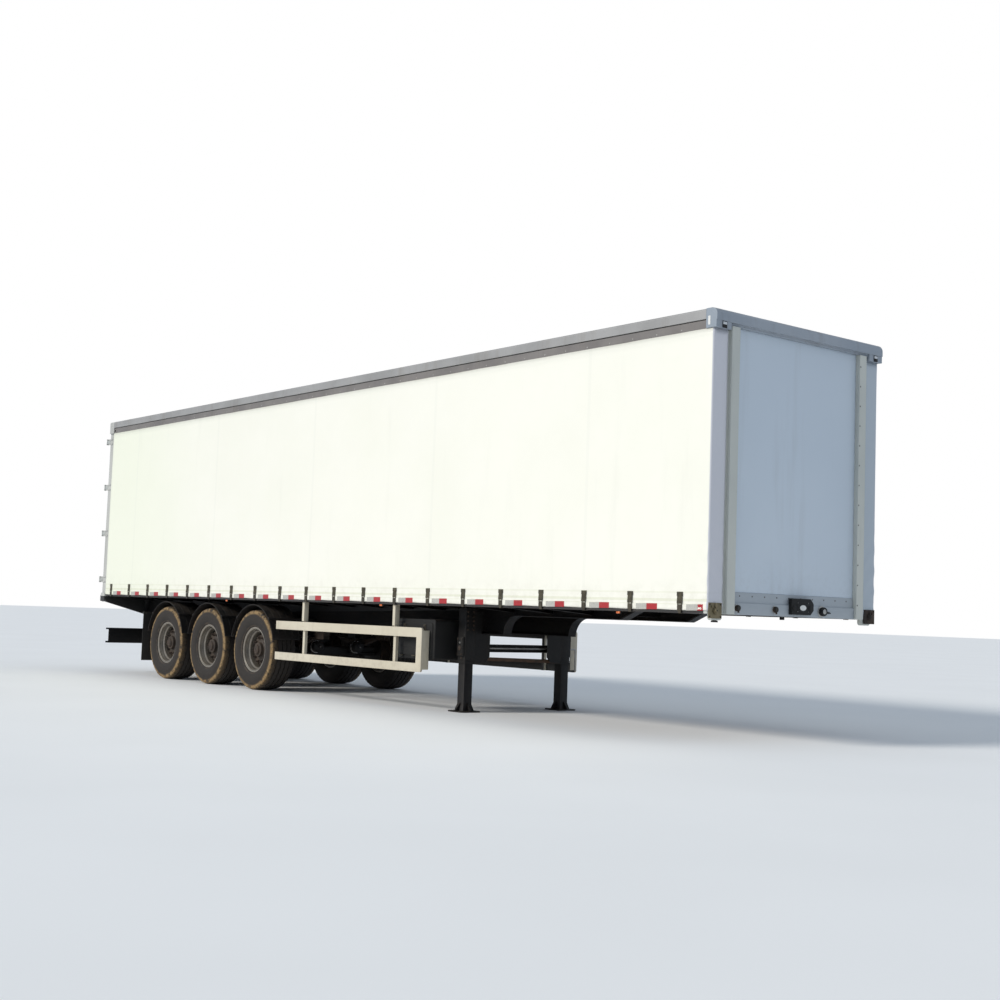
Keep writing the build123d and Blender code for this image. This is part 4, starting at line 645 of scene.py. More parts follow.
class Bench:
    def __init__(self, name):
        self.name = name
        self.mesh = bmesh.new()
        self.finishes = []

    def slotOf(self, finish):
        if finish not in self.finishes:
            self.finishes.append(finish)
        return self.finishes.index(finish)

    def take(self, verts, faces, finish):
        made = [self.mesh.verts.new(point) for point in verts]
        index = self.slotOf(finish)
        for face in faces:
            self.mesh.faces.new([made[i] for i in face]).material_index = index

    def block(self, low, high, finish, edge=0.002, place=None, segments=1):
        # a box between two corners with eased edges
        part = bmesh.new()
        bmesh.ops.create_cube(part, size=1.0)
        low, high = Vector(low), Vector(high)
        size = high - low
        bmesh.ops.transform(part, matrix=Matrix.Diagonal((*size, 1)), verts=part.verts)
        if edge:
            edge = min(edge, min(abs(s) for s in size) * 0.45)
            bmesh.ops.bevel(
                part, geom=part.edges[:], offset=edge, offset_type="OFFSET", segments=segments, profile=0.5,
                affect="EDGES",
            )
        matrix = Matrix.Translation((low + high) / 2)
        self.absorb(part, finish, place @ matrix if place else matrix)

    def absorb(self, part, finish, matrix=None):
        if matrix:
            bmesh.ops.transform(part, matrix=matrix, verts=part.verts)
        part.verts.index_update()
        self.take([v.co.copy() for v in part.verts], [[v.index for v in f.verts] for f in part.faces], finish)
        part.free()

    def lathe(self, centre, axis, profile, finish, sides=48, closed=False):
        # profile holds (distance along the axis, radius); closed joins its last point to its first
        axis = Vector(axis).normalized()
        first = axis.orthogonal().normalized()
        second = axis.cross(first)
        verts = []
        for along, radius in profile:
            for i in range(sides):
                turn = 2 * math.pi * i / sides
                arm = first * math.cos(turn) + second * math.sin(turn)
                verts.append(Vector(centre) + axis * along + arm * radius)
        rings = len(profile)
        last = rings if closed else rings - 1
        faces = []
        for ring in range(last):
            after = (ring + 1) % rings
            for i in range(sides):
                j = (i + 1) % sides
                faces.append((ring * sides + i, ring * sides + j, after * sides + j, after * sides + i))
        if not closed:
            faces.append(tuple(range(sides)))
            faces.append(tuple((rings - 1) * sides + i for i in range(sides)))
        self.take(verts, faces, finish)

    def rod(self, start, end, radius, finish, sides=16, ease=0.15):
        start, end = Vector(start), Vector(end)
        length = (end - start).length
        lip = radius * ease
        profile = [(0, radius - lip), (lip, radius), (length - lip, radius), (length, radius - lip)]
        self.lathe(start, end - start, profile, finish, sides)

    def tube(self, points, radius, finish, sides=10):
        # a bent bar along straight runs with mitred corners
        points = [Vector(point) for point in points]
        verts = []
        normal = (points[1] - points[0]).orthogonal().normalized()
        for i, point in enumerate(points):
            before = (points[i] - points[i - 1]).normalized() if i else None
            after = (points[i + 1] - points[i]).normalized() if i + 1 < len(points) else None
            ahead = ((before or after) + (after or before)).normalized()
            normal = (normal - ahead * normal.dot(ahead)).normalized()
            side = ahead.cross(normal)
            stretch = 1 / max(0.5, ahead.dot(after or before))
            for j in range(sides):
                turn = 2 * math.pi * j / sides
                verts.append(point + (normal * math.cos(turn) + side * math.sin(turn)) * radius * stretch)
        faces = []
        for i in range(len(points) - 1):
            for j in range(sides):
                k = (j + 1) % sides
                faces.append((i * sides + j, i * sides + k, (i + 1) * sides + k, (i + 1) * sides + j))
        faces.append(tuple(range(sides)))
        faces.append(tuple((len(points) - 1) * sides + j for j in range(sides)))
        self.take(verts, faces, finish)

    def prism(self, outline, depth, finish, edge=0.0):
        # a flat outline of points pushed along a vector
        part = bmesh.new()
        base = part.faces.new([part.verts.new(point) for point in outline])
        pushed = bmesh.ops.extrude_face_region(part, geom=[base])
        moved = [item for item in pushed["geom"] if isinstance(item, bmesh.types.BMVert)]
        bmesh.ops.translate(part, verts=moved, vec=Vector(depth))
        if edge:
            bmesh.ops.bevel(
                part, geom=part.edges[:], offset=edge, offset_type="OFFSET", segments=1, profile=0.5,
                affect="EDGES",
            )
        self.absorb(part, finish)

    def mirrored(self, name):
        twin = Bench(name)
        twin.finishes = list(self.finishes)
        twin.mesh = self.mesh.copy()
        bmesh.ops.transform(twin.mesh, matrix=Matrix.Diagonal((1, -1, 1, 1)), verts=twin.mesh.verts)
        return twin

    def addMirror(self):
        twin = self.mirrored("twin")
        scrap = bpy.data.meshes.new("scrap")
        twin.mesh.to_mesh(scrap)
        twin.mesh.free()
        self.mesh.from_mesh(scrap)
        bpy.data.meshes.remove(scrap)

    def deliver(self, body="chassis", slot=None, replaced=(), angle=38.0):
        bmesh.ops.recalc_face_normals(self.mesh, faces=self.mesh.faces)
        data = bpy.data.meshes.new(self.name)
        self.mesh.to_mesh(data)
        self.mesh.free()
        for finish in self.finishes:
            data.materials.append(finish)
        return settle(self.name, data, body, replaced, angle)


def closedStrip(front, back, wide):
    # faces over two like grids, wide points to a row, and round their edges
    tall = len(front) // wide
    behind = len(front)
    faces = []
    for i in range(tall - 1):
        for j in range(wide - 1):
            a = i * wide + j
            faces.append((a, a + 1, a + wide + 1, a + wide))
            faces.append((behind + a, behind + a + wide, behind + a + wide + 1, behind + a + 1))
        for j in (0, wide - 1):
            a = i * wide + j
            faces.append((a, a + wide, behind + a + wide, behind + a))
    for j in range(wide - 1):
        for i in (0, tall - 1):
            a = i * wide + j
            faces.append((a, behind + a, behind + a + 1, a + 1))
    return front + back, faces


def settle(name, data, body="chassis", replaced=(), angle=38.0):
    data.shade_smooth()
    data.set_sharp_from_angle(angle=math.radians(angle))
    piece = bpy.data.objects.new(name, data)
    bpy.context.scene.collection.objects.link(piece)
    if body:
        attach(piece, body)
    if replaced:
        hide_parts(*replaced)
    return piece


class Layout:
    # a geometry tree with named inputs that ends in one realized, finished shape
    def __init__(self, name, inputs):
        self.tree = bpy.data.node_groups.new(name, "GeometryNodeTree")
        self.names = {}
        for label, kind in inputs.items():
            socket = self.tree.interface.new_socket(label, in_out="INPUT", socket_type="NodeSocket" + kind)
            self.names[label] = socket.identifier
        self.tree.interface.new_socket("Shape", in_out="OUTPUT", socket_type="NodeSocketGeometry")
        self.entry = self.tree.nodes.new("NodeGroupInput")

    def given(self, label):
        return self.entry.outputs[label]

    def add(self, kind, settings=None, inputs=None, output=0):
        made = self.tree.nodes.new(kind)
        for key, value in (settings or {}).items():
            setattr(made, key, value)
        for key, value in (inputs or {}).items():
            if isinstance(value, bpy.types.NodeSocket):
                self.tree.links.new(value, made.inputs[key])
            else:
                made.inputs[key].default_value = value
        return made.outputs[output]

    def close(self, shape):
        real = self.add("GeometryNodeRealizeInstances", {}, {"Geometry": shape})
        coated = self.add("GeometryNodeSetMaterial", {}, {"Geometry": real, "Material": self.given("Finish")})
        leave = self.tree.nodes.new("NodeGroupOutput")
        self.tree.links.new(coated, leave.inputs["Shape"])


def rowLayout():
    layout = Layout(
        "rowLayout", {
            "Part": "Object", "Start": "Vector", "Step": "Vector", "Count": "Int", "Finish": "Material",
        }
    )
    line = layout.add(
        "GeometryNodeMeshLine",
        {"mode": "OFFSET"},
        {
            "Count": layout.given("Count"), "Start Location": layout.given("Start"),
            "Offset": layout.given("Step"),
        },
    )
    part = layout.add("GeometryNodeObjectInfo", {}, {"Object": layout.given("Part")}, "Geometry")
    layout.close(layout.add(
        "GeometryNodeInstanceOnPoints", {}, {"Points": line, "Instance": part}, "Instances",
    ))
    return layout


def ringLayout():
    # parts around an axis along Y, each turned to face outwards
    layout = Layout(
        "ringLayout", {
            "Part": "Object", "Centre": "Vector", "Radius": "Float", "Count": "Int", "Finish": "Material",
        }
    )
    circle = layout.add(
        "GeometryNodeMeshCircle", {}, {"Vertices": layout.given("Count"), "Radius": layout.given("Radius")}
    )
    upright = layout.add(
        "GeometryNodeTransform",
        {},
        {"Geometry": circle, "Rotation": (math.pi / 2, 0, 0), "Translation": layout.given("Centre")},
    )
    part = layout.add("GeometryNodeObjectInfo", {}, {"Object": layout.given("Part")}, "Geometry")
    order = layout.add("GeometryNodeInputIndex")
    share = layout.add("ShaderNodeMath", {"operation": "DIVIDE"}, {0: order, 1: layout.given("Count")})
    angle = layout.add("ShaderNodeMath", {"operation": "MULTIPLY"}, {0: share, 1: -2 * math.pi})
    turn = layout.add("ShaderNodeCombineXYZ", {}, {"Y": angle})
    layout.close(
        layout.add(
            "GeometryNodeInstanceOnPoints", {}, {
                "Points": upright, "Instance": part, "Rotation": turn,
            }, "Instances"
        )
    )
    return layout


rows = rowLayout()
rings = ringLayout()


def layOut(name, layout, part, values):
    # runs a layout on a part and gives back a plain mesh
    source = part.deliver(body=None) if isinstance(part, Bench) else part
    holder = bpy.data.objects.new(name, bpy.data.meshes.new(name + "Base"))
    bpy.context.scene.collection.objects.link(holder)
    modifier = holder.modifiers.new("layout", "NODES")
    modifier.node_group = layout.tree
    for label, value in {"Part": source, **values}.items():
        modifier[layout.names[label]] = value
    graph = bpy.context.evaluated_depsgraph_get()
    data = bpy.data.meshes.new_from_object(holder.evaluated_get(graph))
    holder.modifiers.remove(modifier)
    bpy.data.objects.remove(holder)
    if isinstance(part, Bench):
        bpy.data.objects.remove(source)
    return data


def merged(name, meshes, body="chassis", replaced=(), angle=38.0):
    # several meshes with the same finishes as one piece
    whole = bmesh.new()
    finishes = []
    for data in meshes:
        start = len(whole.faces)
        whole.from_mesh(data)
        whole.faces.ensure_lookup_table()
        finishes += [material for material in data.materials if material not in finishes]
        local = [finishes.index(material) for material in data.materials]
        for face in whole.faces[start:]:
            face.material_index = local[face.material_index] if local else 0
    joined = bpy.data.meshes.new(name)
    whole.to_mesh(joined)
    whole.free()
    for finish in finishes:
        joined.materials.append(finish)
    return settle(name, joined, body, replaced, angle)


def crossRound(x, y, z, turn, radius, rise=None):
    # a point at an angle round a centre in the trailer's cross plane; rise makes the round an oval
    return (x, y + radius * math.cos(turn), z + (rise or radius) * math.sin(turn))


def domeHead(name, radius, height, finish, axis, sides=10):
    # a rivet or bolt head that stands on its own origin
    head = Bench(name)
    profile = [
        (0.0, radius), (height * 0.45, radius * 0.94), (height * 0.85, radius * 0.6), (height, radius * 0.22),
    ]
    head.lathe((0, 0, 0), axis, profile, finish, sides)
    return head


def hexHead(name, across, height, finish, axis, washer=1.25):
    head = Bench(name)
    radius = across / math.sqrt(3)
    head.lathe((0, 0, 0), axis, [(0, radius * washer), (height * 0.18, radius * washer)], finish, 14)
    head.lathe(
        (0, 0, 0), axis, [
            (height * 0.18, radius), (height * 0.88, radius), (height, radius * 0.84),
        ], finish, 6
    )
    return head


print("bench and layouts ready")


# Curtains

curtain = {
    "rear": -6.470, "front": 6.650, "side": 1.250, "wrapEnd": 1.050, "corner": 0.024,
    "bottom": 1.235, "top": 3.8617, "columns": 372, "rows": 60, "wrapColumns": 10, "cornerColumns": 6,
    "thickness": 0.0016, "pitch": 0.6605, "firstStrap": -6.245, "straps": 20,
    "tension": 0.0035, "pullHeight": 0.38, "hemStep": 0.0022, "hemHeight": 0.066, "band": (0.158, 0.178),
    "headStep": 0.0016, "headHeight": 0.07, "liftRange": (-0.0030, 0.0085),
    "folds": (  # amount, closeness along, closeness upwards, seed
        (0.0045, 0.55, 0.42, 3.1), (0.0022, 3.4, 0.55, 9.7), (0.0010, 9.0, 2.2, 1.3),
    ),
    "creases": (  # reach back from the front corner, height, spread, amount, slope up, slope along, closeness
        (0.42, 1.62, 0.38, 0.0058, 0.85, 0.9, 34.0), (0.30, 1.30, 0.16, 0.0040, 1.1, -0.7, 52.0),
    ),
}


def scallopAt(x, depth):
    # the hem rises in a shallow arc between two straps
    phase = (x - curtain["firstStrap"]) / curtain["pitch"]
    return depth * (1 - math.cos(2 * math.pi * phase)) / 2


def clothLift(x, z):
    # how far the cloth stands out of its flat plane at a place along the side
    lift = 0.0
    for amount, along, up, seed in curtain["folds"]:
        lift += amount * noise.noise((x * along, z * up, seed))
    nearest = round((x - curtain["firstStrap"]) / curtain["pitch"])
    nearest = min(max(nearest, 0), curtain["straps"] - 1)
    offset = x - (curtain["firstStrap"] + nearest * curtain["pitch"])
    height = z - curtain["bottom"]
    pull = math.exp(-height / curtain["pullHeight"])
    fan = offset / (0.055 + 0.42 * height)
    lift += curtain["tension"] * pull * (math.cos(fan * 5.2) * math.exp(-fan * fan * 0.9) - 0.35)
    if height < curtain["hemHeight"]:
        lift += curtain["hemStep"]
    low, high = curtain["band"]
    if low < height < high:
        lift += curtain["hemStep"] * 0.6
    if curtain["top"] - z < curtain["headHeight"]:
        lift += curtain["headStep"]
    for reach, middle, spread, amount, up, along, close in curtain["creases"]:
        near = math.exp(-((curtain["front"] - x) / reach) ** 2) * math.exp(-((z - middle) / spread) ** 2)
        lift += amount * near * math.sin((z * up + x * along) * close)
    low, high = curtain["liftRange"]
    return max(low, min(high, lift))


def clothPoint(along, z, lift):
    # a point at a distance along the cloth from its rear edge, measured on its outer face
    corner = curtain["corner"]
    straight = curtain["front"] - corner - curtain["rear"]
    bend = corner * math.pi / 2
    if along <= straight:
        return (curtain["rear"] + along, curtain["side"] + lift, z)
    if along <= straight + bend:
        turn = (along - straight) / corner
        reach = corner + lift
        return (
            curtain["front"] - corner + math.sin(turn) * reach,
            curtain["side"] - corner + math.cos(turn) * reach,
            z,
        )
    return (curtain["front"] + lift, curtain["side"] - corner - (along - straight - bend), z)


def clothRows():
    # closer rows near the hem, where the straps pull
    share = np.linspace(0, 1, curtain["rows"] + 1)
    share = 0.62 * share ** 1.7 + 0.38 * share
    return curtain["bottom"] + share * (curtain["top"] - curtain["bottom"])


def hangCurtain(name, side, node):
    corner = curtain["corner"]
    straight = curtain["front"] - corner - curtain["rear"]
    bend = corner * math.pi / 2
    wrap = curtain["side"] - corner - curtain["wrapEnd"]
    stations = list(np.linspace(0, straight, curtain["columns"] + 1))
    stations += list(np.linspace(straight, straight + bend, curtain["cornerColumns"] + 1)[1:])
    stations += list(np.linspace(straight + bend, straight + bend + wrap, curtain["wrapColumns"] + 1)[1:])
    heights = clothRows()
    verts = []
    for along in stations:
        x = curtain["rear"] + along
        for z in heights:
            lift = clothLift(x, z)
            if along > straight:
                lift *= 0.75
            scallop = 0.0
            if z < curtain["bottom"] + 0.02 and along < straight:
                scallop = scallopAt(x, 0.005)
            px, py, pz = clothPoint(along, z + scallop, lift)
            verts.append((px, side * py, pz))
    tall = len(heights)
    faces = []
    for i in range(len(stations) - 1):
        for j in range(tall - 1):
            a = i * tall + j
            quad = (a, a + tall, a + tall + 1, a + 1)
            faces.append(quad if side < 0 else quad[::-1])
    data = bpy.data.meshes.new(name)
    data.from_pydata(verts, [], faces)
    data.materials.append(curtainCloth)
    piece = settle(name, data, "chassis", (node,), 60.0)
    wall = piece.modifiers.new("thickness", "SOLIDIFY")
    wall.thickness = curtain["thickness"]
    wall.offset = -1.0
    return piece


hangCurtain("curtainRight", -1, "curtain_right")
hangCurtain("curtainLeft", 1, "curtain_left")
print("curtains hung")


# Reflective tape along the hem, a white and a red length after each strap

tape = {
    "gap": 0.080, "length": 0.142, "shortest": 0.030, "cornerGap": 0.030, "bottom": 1.2325, "height": 0.057,
    "columns": 8, "lift": 0.0009,
}


def stickTape(name, side):
    strips = Bench(name)
    for i in range(curtain["straps"]):
        start = curtain["firstStrap"] + i * curtain["pitch"] + tape["gap"]
        for order, finish in enumerate((whiteTape, redTape)):
            left = start + order * tape["length"]
            length = min(tape["length"], curtain["front"] - curtain["corner"] - tape["cornerGap"] - left)
            if length < tape["shortest"]:
                continue
            front, back = [], []
            for column in range(tape["columns"] + 1):
                x = left + length * column / tape["columns"]
                scallop = scallopAt(x, 0.004)
                for rise in (0, 0.5, 1):
                    z = tape["bottom"] + scallop + rise * tape["height"]
                    out = curtain["side"] + clothLift(x, z) + tape["lift"]
                    front.append((x, side * out, z))
                    back.append((x, side * (out - tape["lift"]), z))
            strips.take(*closedStrip(front, back, 3), finish)
    strips.deliver("chassis", "curtain_cloth")


stickTape("tapeRight", -1)
stickTape("tapeLeft", 1)
print("tape laid")


# Buckles and straps

buckle = {
    "strapWidth": 0.066, "hookHalf": 0.019, "strapTop": 1.398, "strapBottom": 1.296,
    "thick": 0.0026, "width": 0.054, "top": 1.304, "bottom": 1.216, "hookZ": 1.2047,
}


def strapShape(side):
    # a webbing ribbon from its stitched patch down to the buckle's bar
    shape = Bench("strapShape")
    half = buckle["strapWidth"] / 2
    base = curtain["side"] + 0.0052
    path = [
        (base, buckle["strapTop"]), (base + 0.0004, 1.372), (base + 0.0018, 1.345), (base + 0.0040, 1.320),
        (base + 0.0052, 1.304), (base + 0.0040, buckle["strapBottom"]),
    ]
    front, back = [], []
    for y, z in path:
        for share, bow in ((-1, 0.0), (-0.5, 0.0009), (0, 0.0012), (0.5, 0.0009), (1, 0.0)):
            front.append((half * share, side * (y + bow), z))
            back.append((half * share, side * (y - buckle["thick"]), z))
    shape.take(*closedStrip(front, back, 5), strapWebbing)
    shape.block(
        (-half * 1.15, min(side * (base - 0.002), side * (base + 0.0022)), 1.366),
        (half * 1.15, max(side * (base - 0.002), side * (base + 0.0022)), 1.406),
        strapWebbing, 0.001,
    )
    return shape


def buckleShape(side):
    # cheeks, cross bars, the folded lever and the hook under the rail
    shape = Bench("buckleShape")
    y0 = curtain["side"] + 0.0015
    half = buckle["width"] / 2

    def block(low, high, edge=0.0012):
        ys = sorted((side * low[1], side * high[1]))
        shape.block((low[0], ys[0], low[2]), (high[0], ys[1], high[2]), strapSteel, edge)

    for s in (-1, 1):
        xs = sorted((s * half, s * (half - 0.0035)))
        outline = [
            (xs[0], side * y0, buckle["bottom"] + 0.012),
            (xs[0], side * (y0 + 0.0085), buckle["bottom"] + 0.018),
            (xs[0], side * (y0 + 0.0095), buckle["top"] - 0.020),
            (xs[0], side * (y0 + 0.0040), buckle["top"]), (xs[0], side * y0, buckle["top"]),
        ]
        shape.prism(outline, (xs[1] - xs[0], 0, 0), strapSteel, 0.0006)
    for z, out in ((buckle["top"] - 0.006, 0.0055), (1.262, 0.0060), (buckle["bottom"] + 0.020, 0.0050)):
        shape.rod(
            (-half - 0.003, side * (y0 + out), z), (half + 0.003, side * (y0 + out), z), 0.0032, strapSteel,
            8,
        )
    lever = [(0.0070, 1.288), (0.0098, 1.270), (0.0100, 1.246), (0.0072, 1.230), (0.0052, 1.224)]
    inner = half - 0.0045
    front, back = [], []
    for out, z in lever:
        for x in (-inner, -inner * 0.6, inner * 0.6, inner):
            dip = 0.0012 if abs(x) < inner else 0.0
            front.append((x, side * (y0 + out - dip), z))
            back.append((x, side * (y0 + out - 0.0038), z))
    shape.take(*closedStrip(front, back, 4), strapSteel)
    strap = buckle["hookHalf"]
    block((-strap, y0 - 0.001, buckle["hookZ"]), (strap, y0 + 0.0035, buckle["bottom"] + 0.022))
    block((-strap, 1.2125, buckle["hookZ"]), (strap, y0 + 0.0035, buckle["hookZ"] + 0.0045))
    return shape


def fitBuckles():
    values = {
        "Start": (curtain["firstStrap"], 0, 0), "Step": (curtain["pitch"], 0, 0), "Count": curtain["straps"],
    }
    straps, steel = [], []
    for side in (-1, 1):
        straps.append(layOut("straps", rows, strapShape(side), {**values, "Finish": strapWebbing}))
        steel.append(layOut("buckles", rows, buckleShape(side), {**values, "Finish": strapSteel}))
    merged("curtainStraps", straps, "chassis")
    merged("curtainBuckles", steel, "chassis", ("curtain_buckles",))


fitBuckles()
print("buckles fitted")


# Wheels

wheel = {
    "axles": {"front": -1.685, "middle": -2.995, "rear": -4.305}, "height": 0.5425,
    "middleY": 1.030, "well": 0.012, "segments": 216, "rimSides": 96,
    "nutCircle": 0.1675, "nuts": 10, "holes": 8, "holeCircle": 0.219, "holeRadius": 0.024,
}

tyreWall = [
    (0.1540, 0.3056), (0.1605, 0.3095), (0.1670, 0.3190), (0.1685, 0.3260), (0.1740, 0.3340),
    (0.1810, 0.3560), (0.1870, 0.3850), (0.1897, 0.4120), (0.1900, 0.4350), (0.1880, 0.4400),
    (0.1883, 0.4560), (0.1855, 0.4750), (0.1817, 0.4880), (0.1825, 0.4905), (0.1800, 0.5030),
    (0.1765, 0.5160), (0.1740, 0.5230), (0.1680, 0.5300),
]
treadRibs = [
    (0.1460, 0.5352, "edge"), (0.1080, 0.5385, "edge"), (0.1060, 0.5245, "low"), (0.0945, 0.5245, "low"),
    (0.0925, 0.5398, "edge"), (0.0400, 0.5418, "edge"), (0.0380, 0.5270, "low"), (0.0265, 0.5270, "low"),
    (0.0245, 0.5424, "edge"), (0.0000, 0.5425, "mid"),
]
tyreInside = [
    (0.1435, 0.3120), (0.1635, 0.3500), (0.1755, 0.4000), (0.1745, 0.4600), (0.1555, 0.5020),
    (0.0800, 0.5130),
]


def tyreRing(centre):
    # one tyre: rows of points across the section, turned round the hub with cut ribs and shoulder lugs
    half = tyreWall + [(w, r) for w, r, kind in treadRibs]
    kinds = ["wall"] * len(tyreWall) + [kind for w, r, kind in treadRibs]
    outer = [(w, r, kind) for (w, r), kind in zip(half, kinds)]
    section = outer + [(-w, r, kind) for w, r, kind in reversed(outer[:-1])]
    section += [(
        -w, r, "inside",
    ) for w, r in tyreInside] + [(w, r, "inside") for w, r in reversed(tyreInside)]
    verts, reach = [], []
    for i in range(wheel["segments"]):
        turn = 2 * math.pi * i / wheel["segments"]
        step = i % 4
        zig = 0.0032 if (i // 3) % 2 else -0.0032
        for w, r, kind in section:
            radius, across = r, w
            if kind in ("edge", "low") and abs(w) < 0.11:
                across += zig
            if kind == "wall" and abs(w) < 0.1800 and r > 0.50:
                radius -= 0.0075 if step == 3 else 0.0
            if kind == "edge" and abs(w) > 0.14:
                radius -= 0.0060 if step == 3 else 0.0
            verts.append((radius * math.cos(turn), centre + across, radius * math.sin(turn)))
            reach.append(r)
    count = len(section)
    faces = []
    for i in range(wheel["segments"]):
        j = (i + 1) % wheel["segments"]
        for k in range(count):
            m = (k + 1) % count
            faces.append((i * count + k, j * count + k, j * count + m, i * count + m))
    return verts, faces, reach


def mountTyre(place, x, sideName, side):
    verts, faces, reach = tyreRing(side * wheel["middleY"])
    data = bpy.data.meshes.new(f"tyre{place}{sideName}")
    data.from_pydata([(px + x, py, pz + wheel["height"]) for px, py, pz in verts], [], faces)
    shape = bmesh.new()
    shape.from_mesh(data)
    bmesh.ops.recalc_face_normals(shape, faces=shape.faces)
    shape.to_mesh(data)
    shape.free()
    mark = data.attributes.new("hubReach", "FLOAT", "POINT")
    mark.data.foreach_set("value", reach)
    data.materials.append(tyreRubber)
    body = f"wheel_{place.lower()}_{sideName.lower()}"
    return settle(
        f"tyre{place}{sideName}", data, body, (f"tyre_{place.lower()}_{sideName.lower()}",), 32.0,
    )


rimSection = [
    (0.1530, 0.3010), (0.1550, 0.3030), (0.1546, 0.3046), (0.1500, 0.3050), (0.1475, 0.3040),
    (0.1465, 0.2990), (0.1465, 0.2890), (0.1440, 0.2862), (0.1020, 0.2850), (0.0970, 0.2825),
    (0.0740, 0.2570), (0.0690, 0.2520),
]
rimBack = [
    (0.0730, 0.2440), (0.0770, 0.2452), (0.1010, 0.2735), (0.1060, 0.2768), (0.1430, 0.2782),
    (0.1495, 0.2800), (0.1525, 0.2860),
]


def dishDepth(radius):
    # the disc's place along the axle, from the flat middle up the cone to the rim's well
    if radius < 0.192:
        return 0.036
    t = (radius - 0.192) / (0.2465 - 0.192)
    return 0.036 - 0.048 * (t ** 1.3)


def discWithHoles(bench, x, middle, side, finish):
    # the sector round each hand hole is filled with rings that change from a circle to the sector's edge
    holes, circle, radius = wheel["holes"], wheel["holeCircle"], wheel["holeRadius"]
    low, high = 0.192, 0.2465
    per, rings = 8, 4
    sheet = bmesh.new()

    def point(r, turn, drop):
        y = middle + side * (dishDepth(r) - drop)
        return (x + r * math.cos(turn), y, wheel["height"] + r * math.sin(turn))

    for hole in range(holes):
        centre = 2 * math.pi * (hole + 0.5) / holes
        wide = math.pi / holes
        edge = [(low, -wide + 2 * wide * i / per) for i in range(per)]
        edge += [(low + (high - low) * i / per, wide) for i in range(per)]
        edge += [(high, wide - 2 * wide * i / per) for i in range(per)]
        edge += [(high - (high - low) * i / per, -wide) for i in range(per)]
        loops = []
        for ring in range(rings + 1):
            blend = ring / rings
            loop = []
            for r, turn in edge:
                ex, ey = r * math.cos(turn) - circle, r * math.sin(turn)
                angle = math.atan2(ey, ex)
                hx, hy = radius * math.cos(angle), radius * math.sin(angle)
                px, py = hx + (ex - hx) * blend + circle, hy + (ey - hy) * blend
                loop.append((math.hypot(px, py), math.atan2(py, px) + centre))
            loops.append(loop)
        made = [[sheet.verts.new(point(r, turn, 0.0)) for r, turn in loop] for loop in loops]
        for ring in range(rings):
            for i in range(len(edge)):
                j = (i + 1) % len(edge)
                sheet.faces.new((made[ring][i], made[ring][j], made[ring + 1][j], made[ring + 1][i]))
    bmesh.ops.remove_doubles(sheet, verts=sheet.verts, dist=0.0002)
    bmesh.ops.recalc_face_normals(sheet, faces=sheet.faces)
    flat = bpy.data.meshes.new("discSheet")
    sheet.to_mesh(flat)
    sheet.free()
    holder = bpy.data.objects.new("discSheet", flat)
    bpy.context.scene.collection.objects.link(holder)
    wall = holder.modifiers.new("thickness", "SOLIDIFY")
    wall.thickness = 0.010
    wall.offset = 0.0
    graph = bpy.context.evaluated_depsgraph_get()
    solid = bpy.data.meshes.new_from_object(holder.evaluated_get(graph))
    bpy.data.objects.remove(holder)
    bench.take([v.co.copy() for v in solid.vertices], [tuple(p.vertices) for p in solid.polygons], finish)


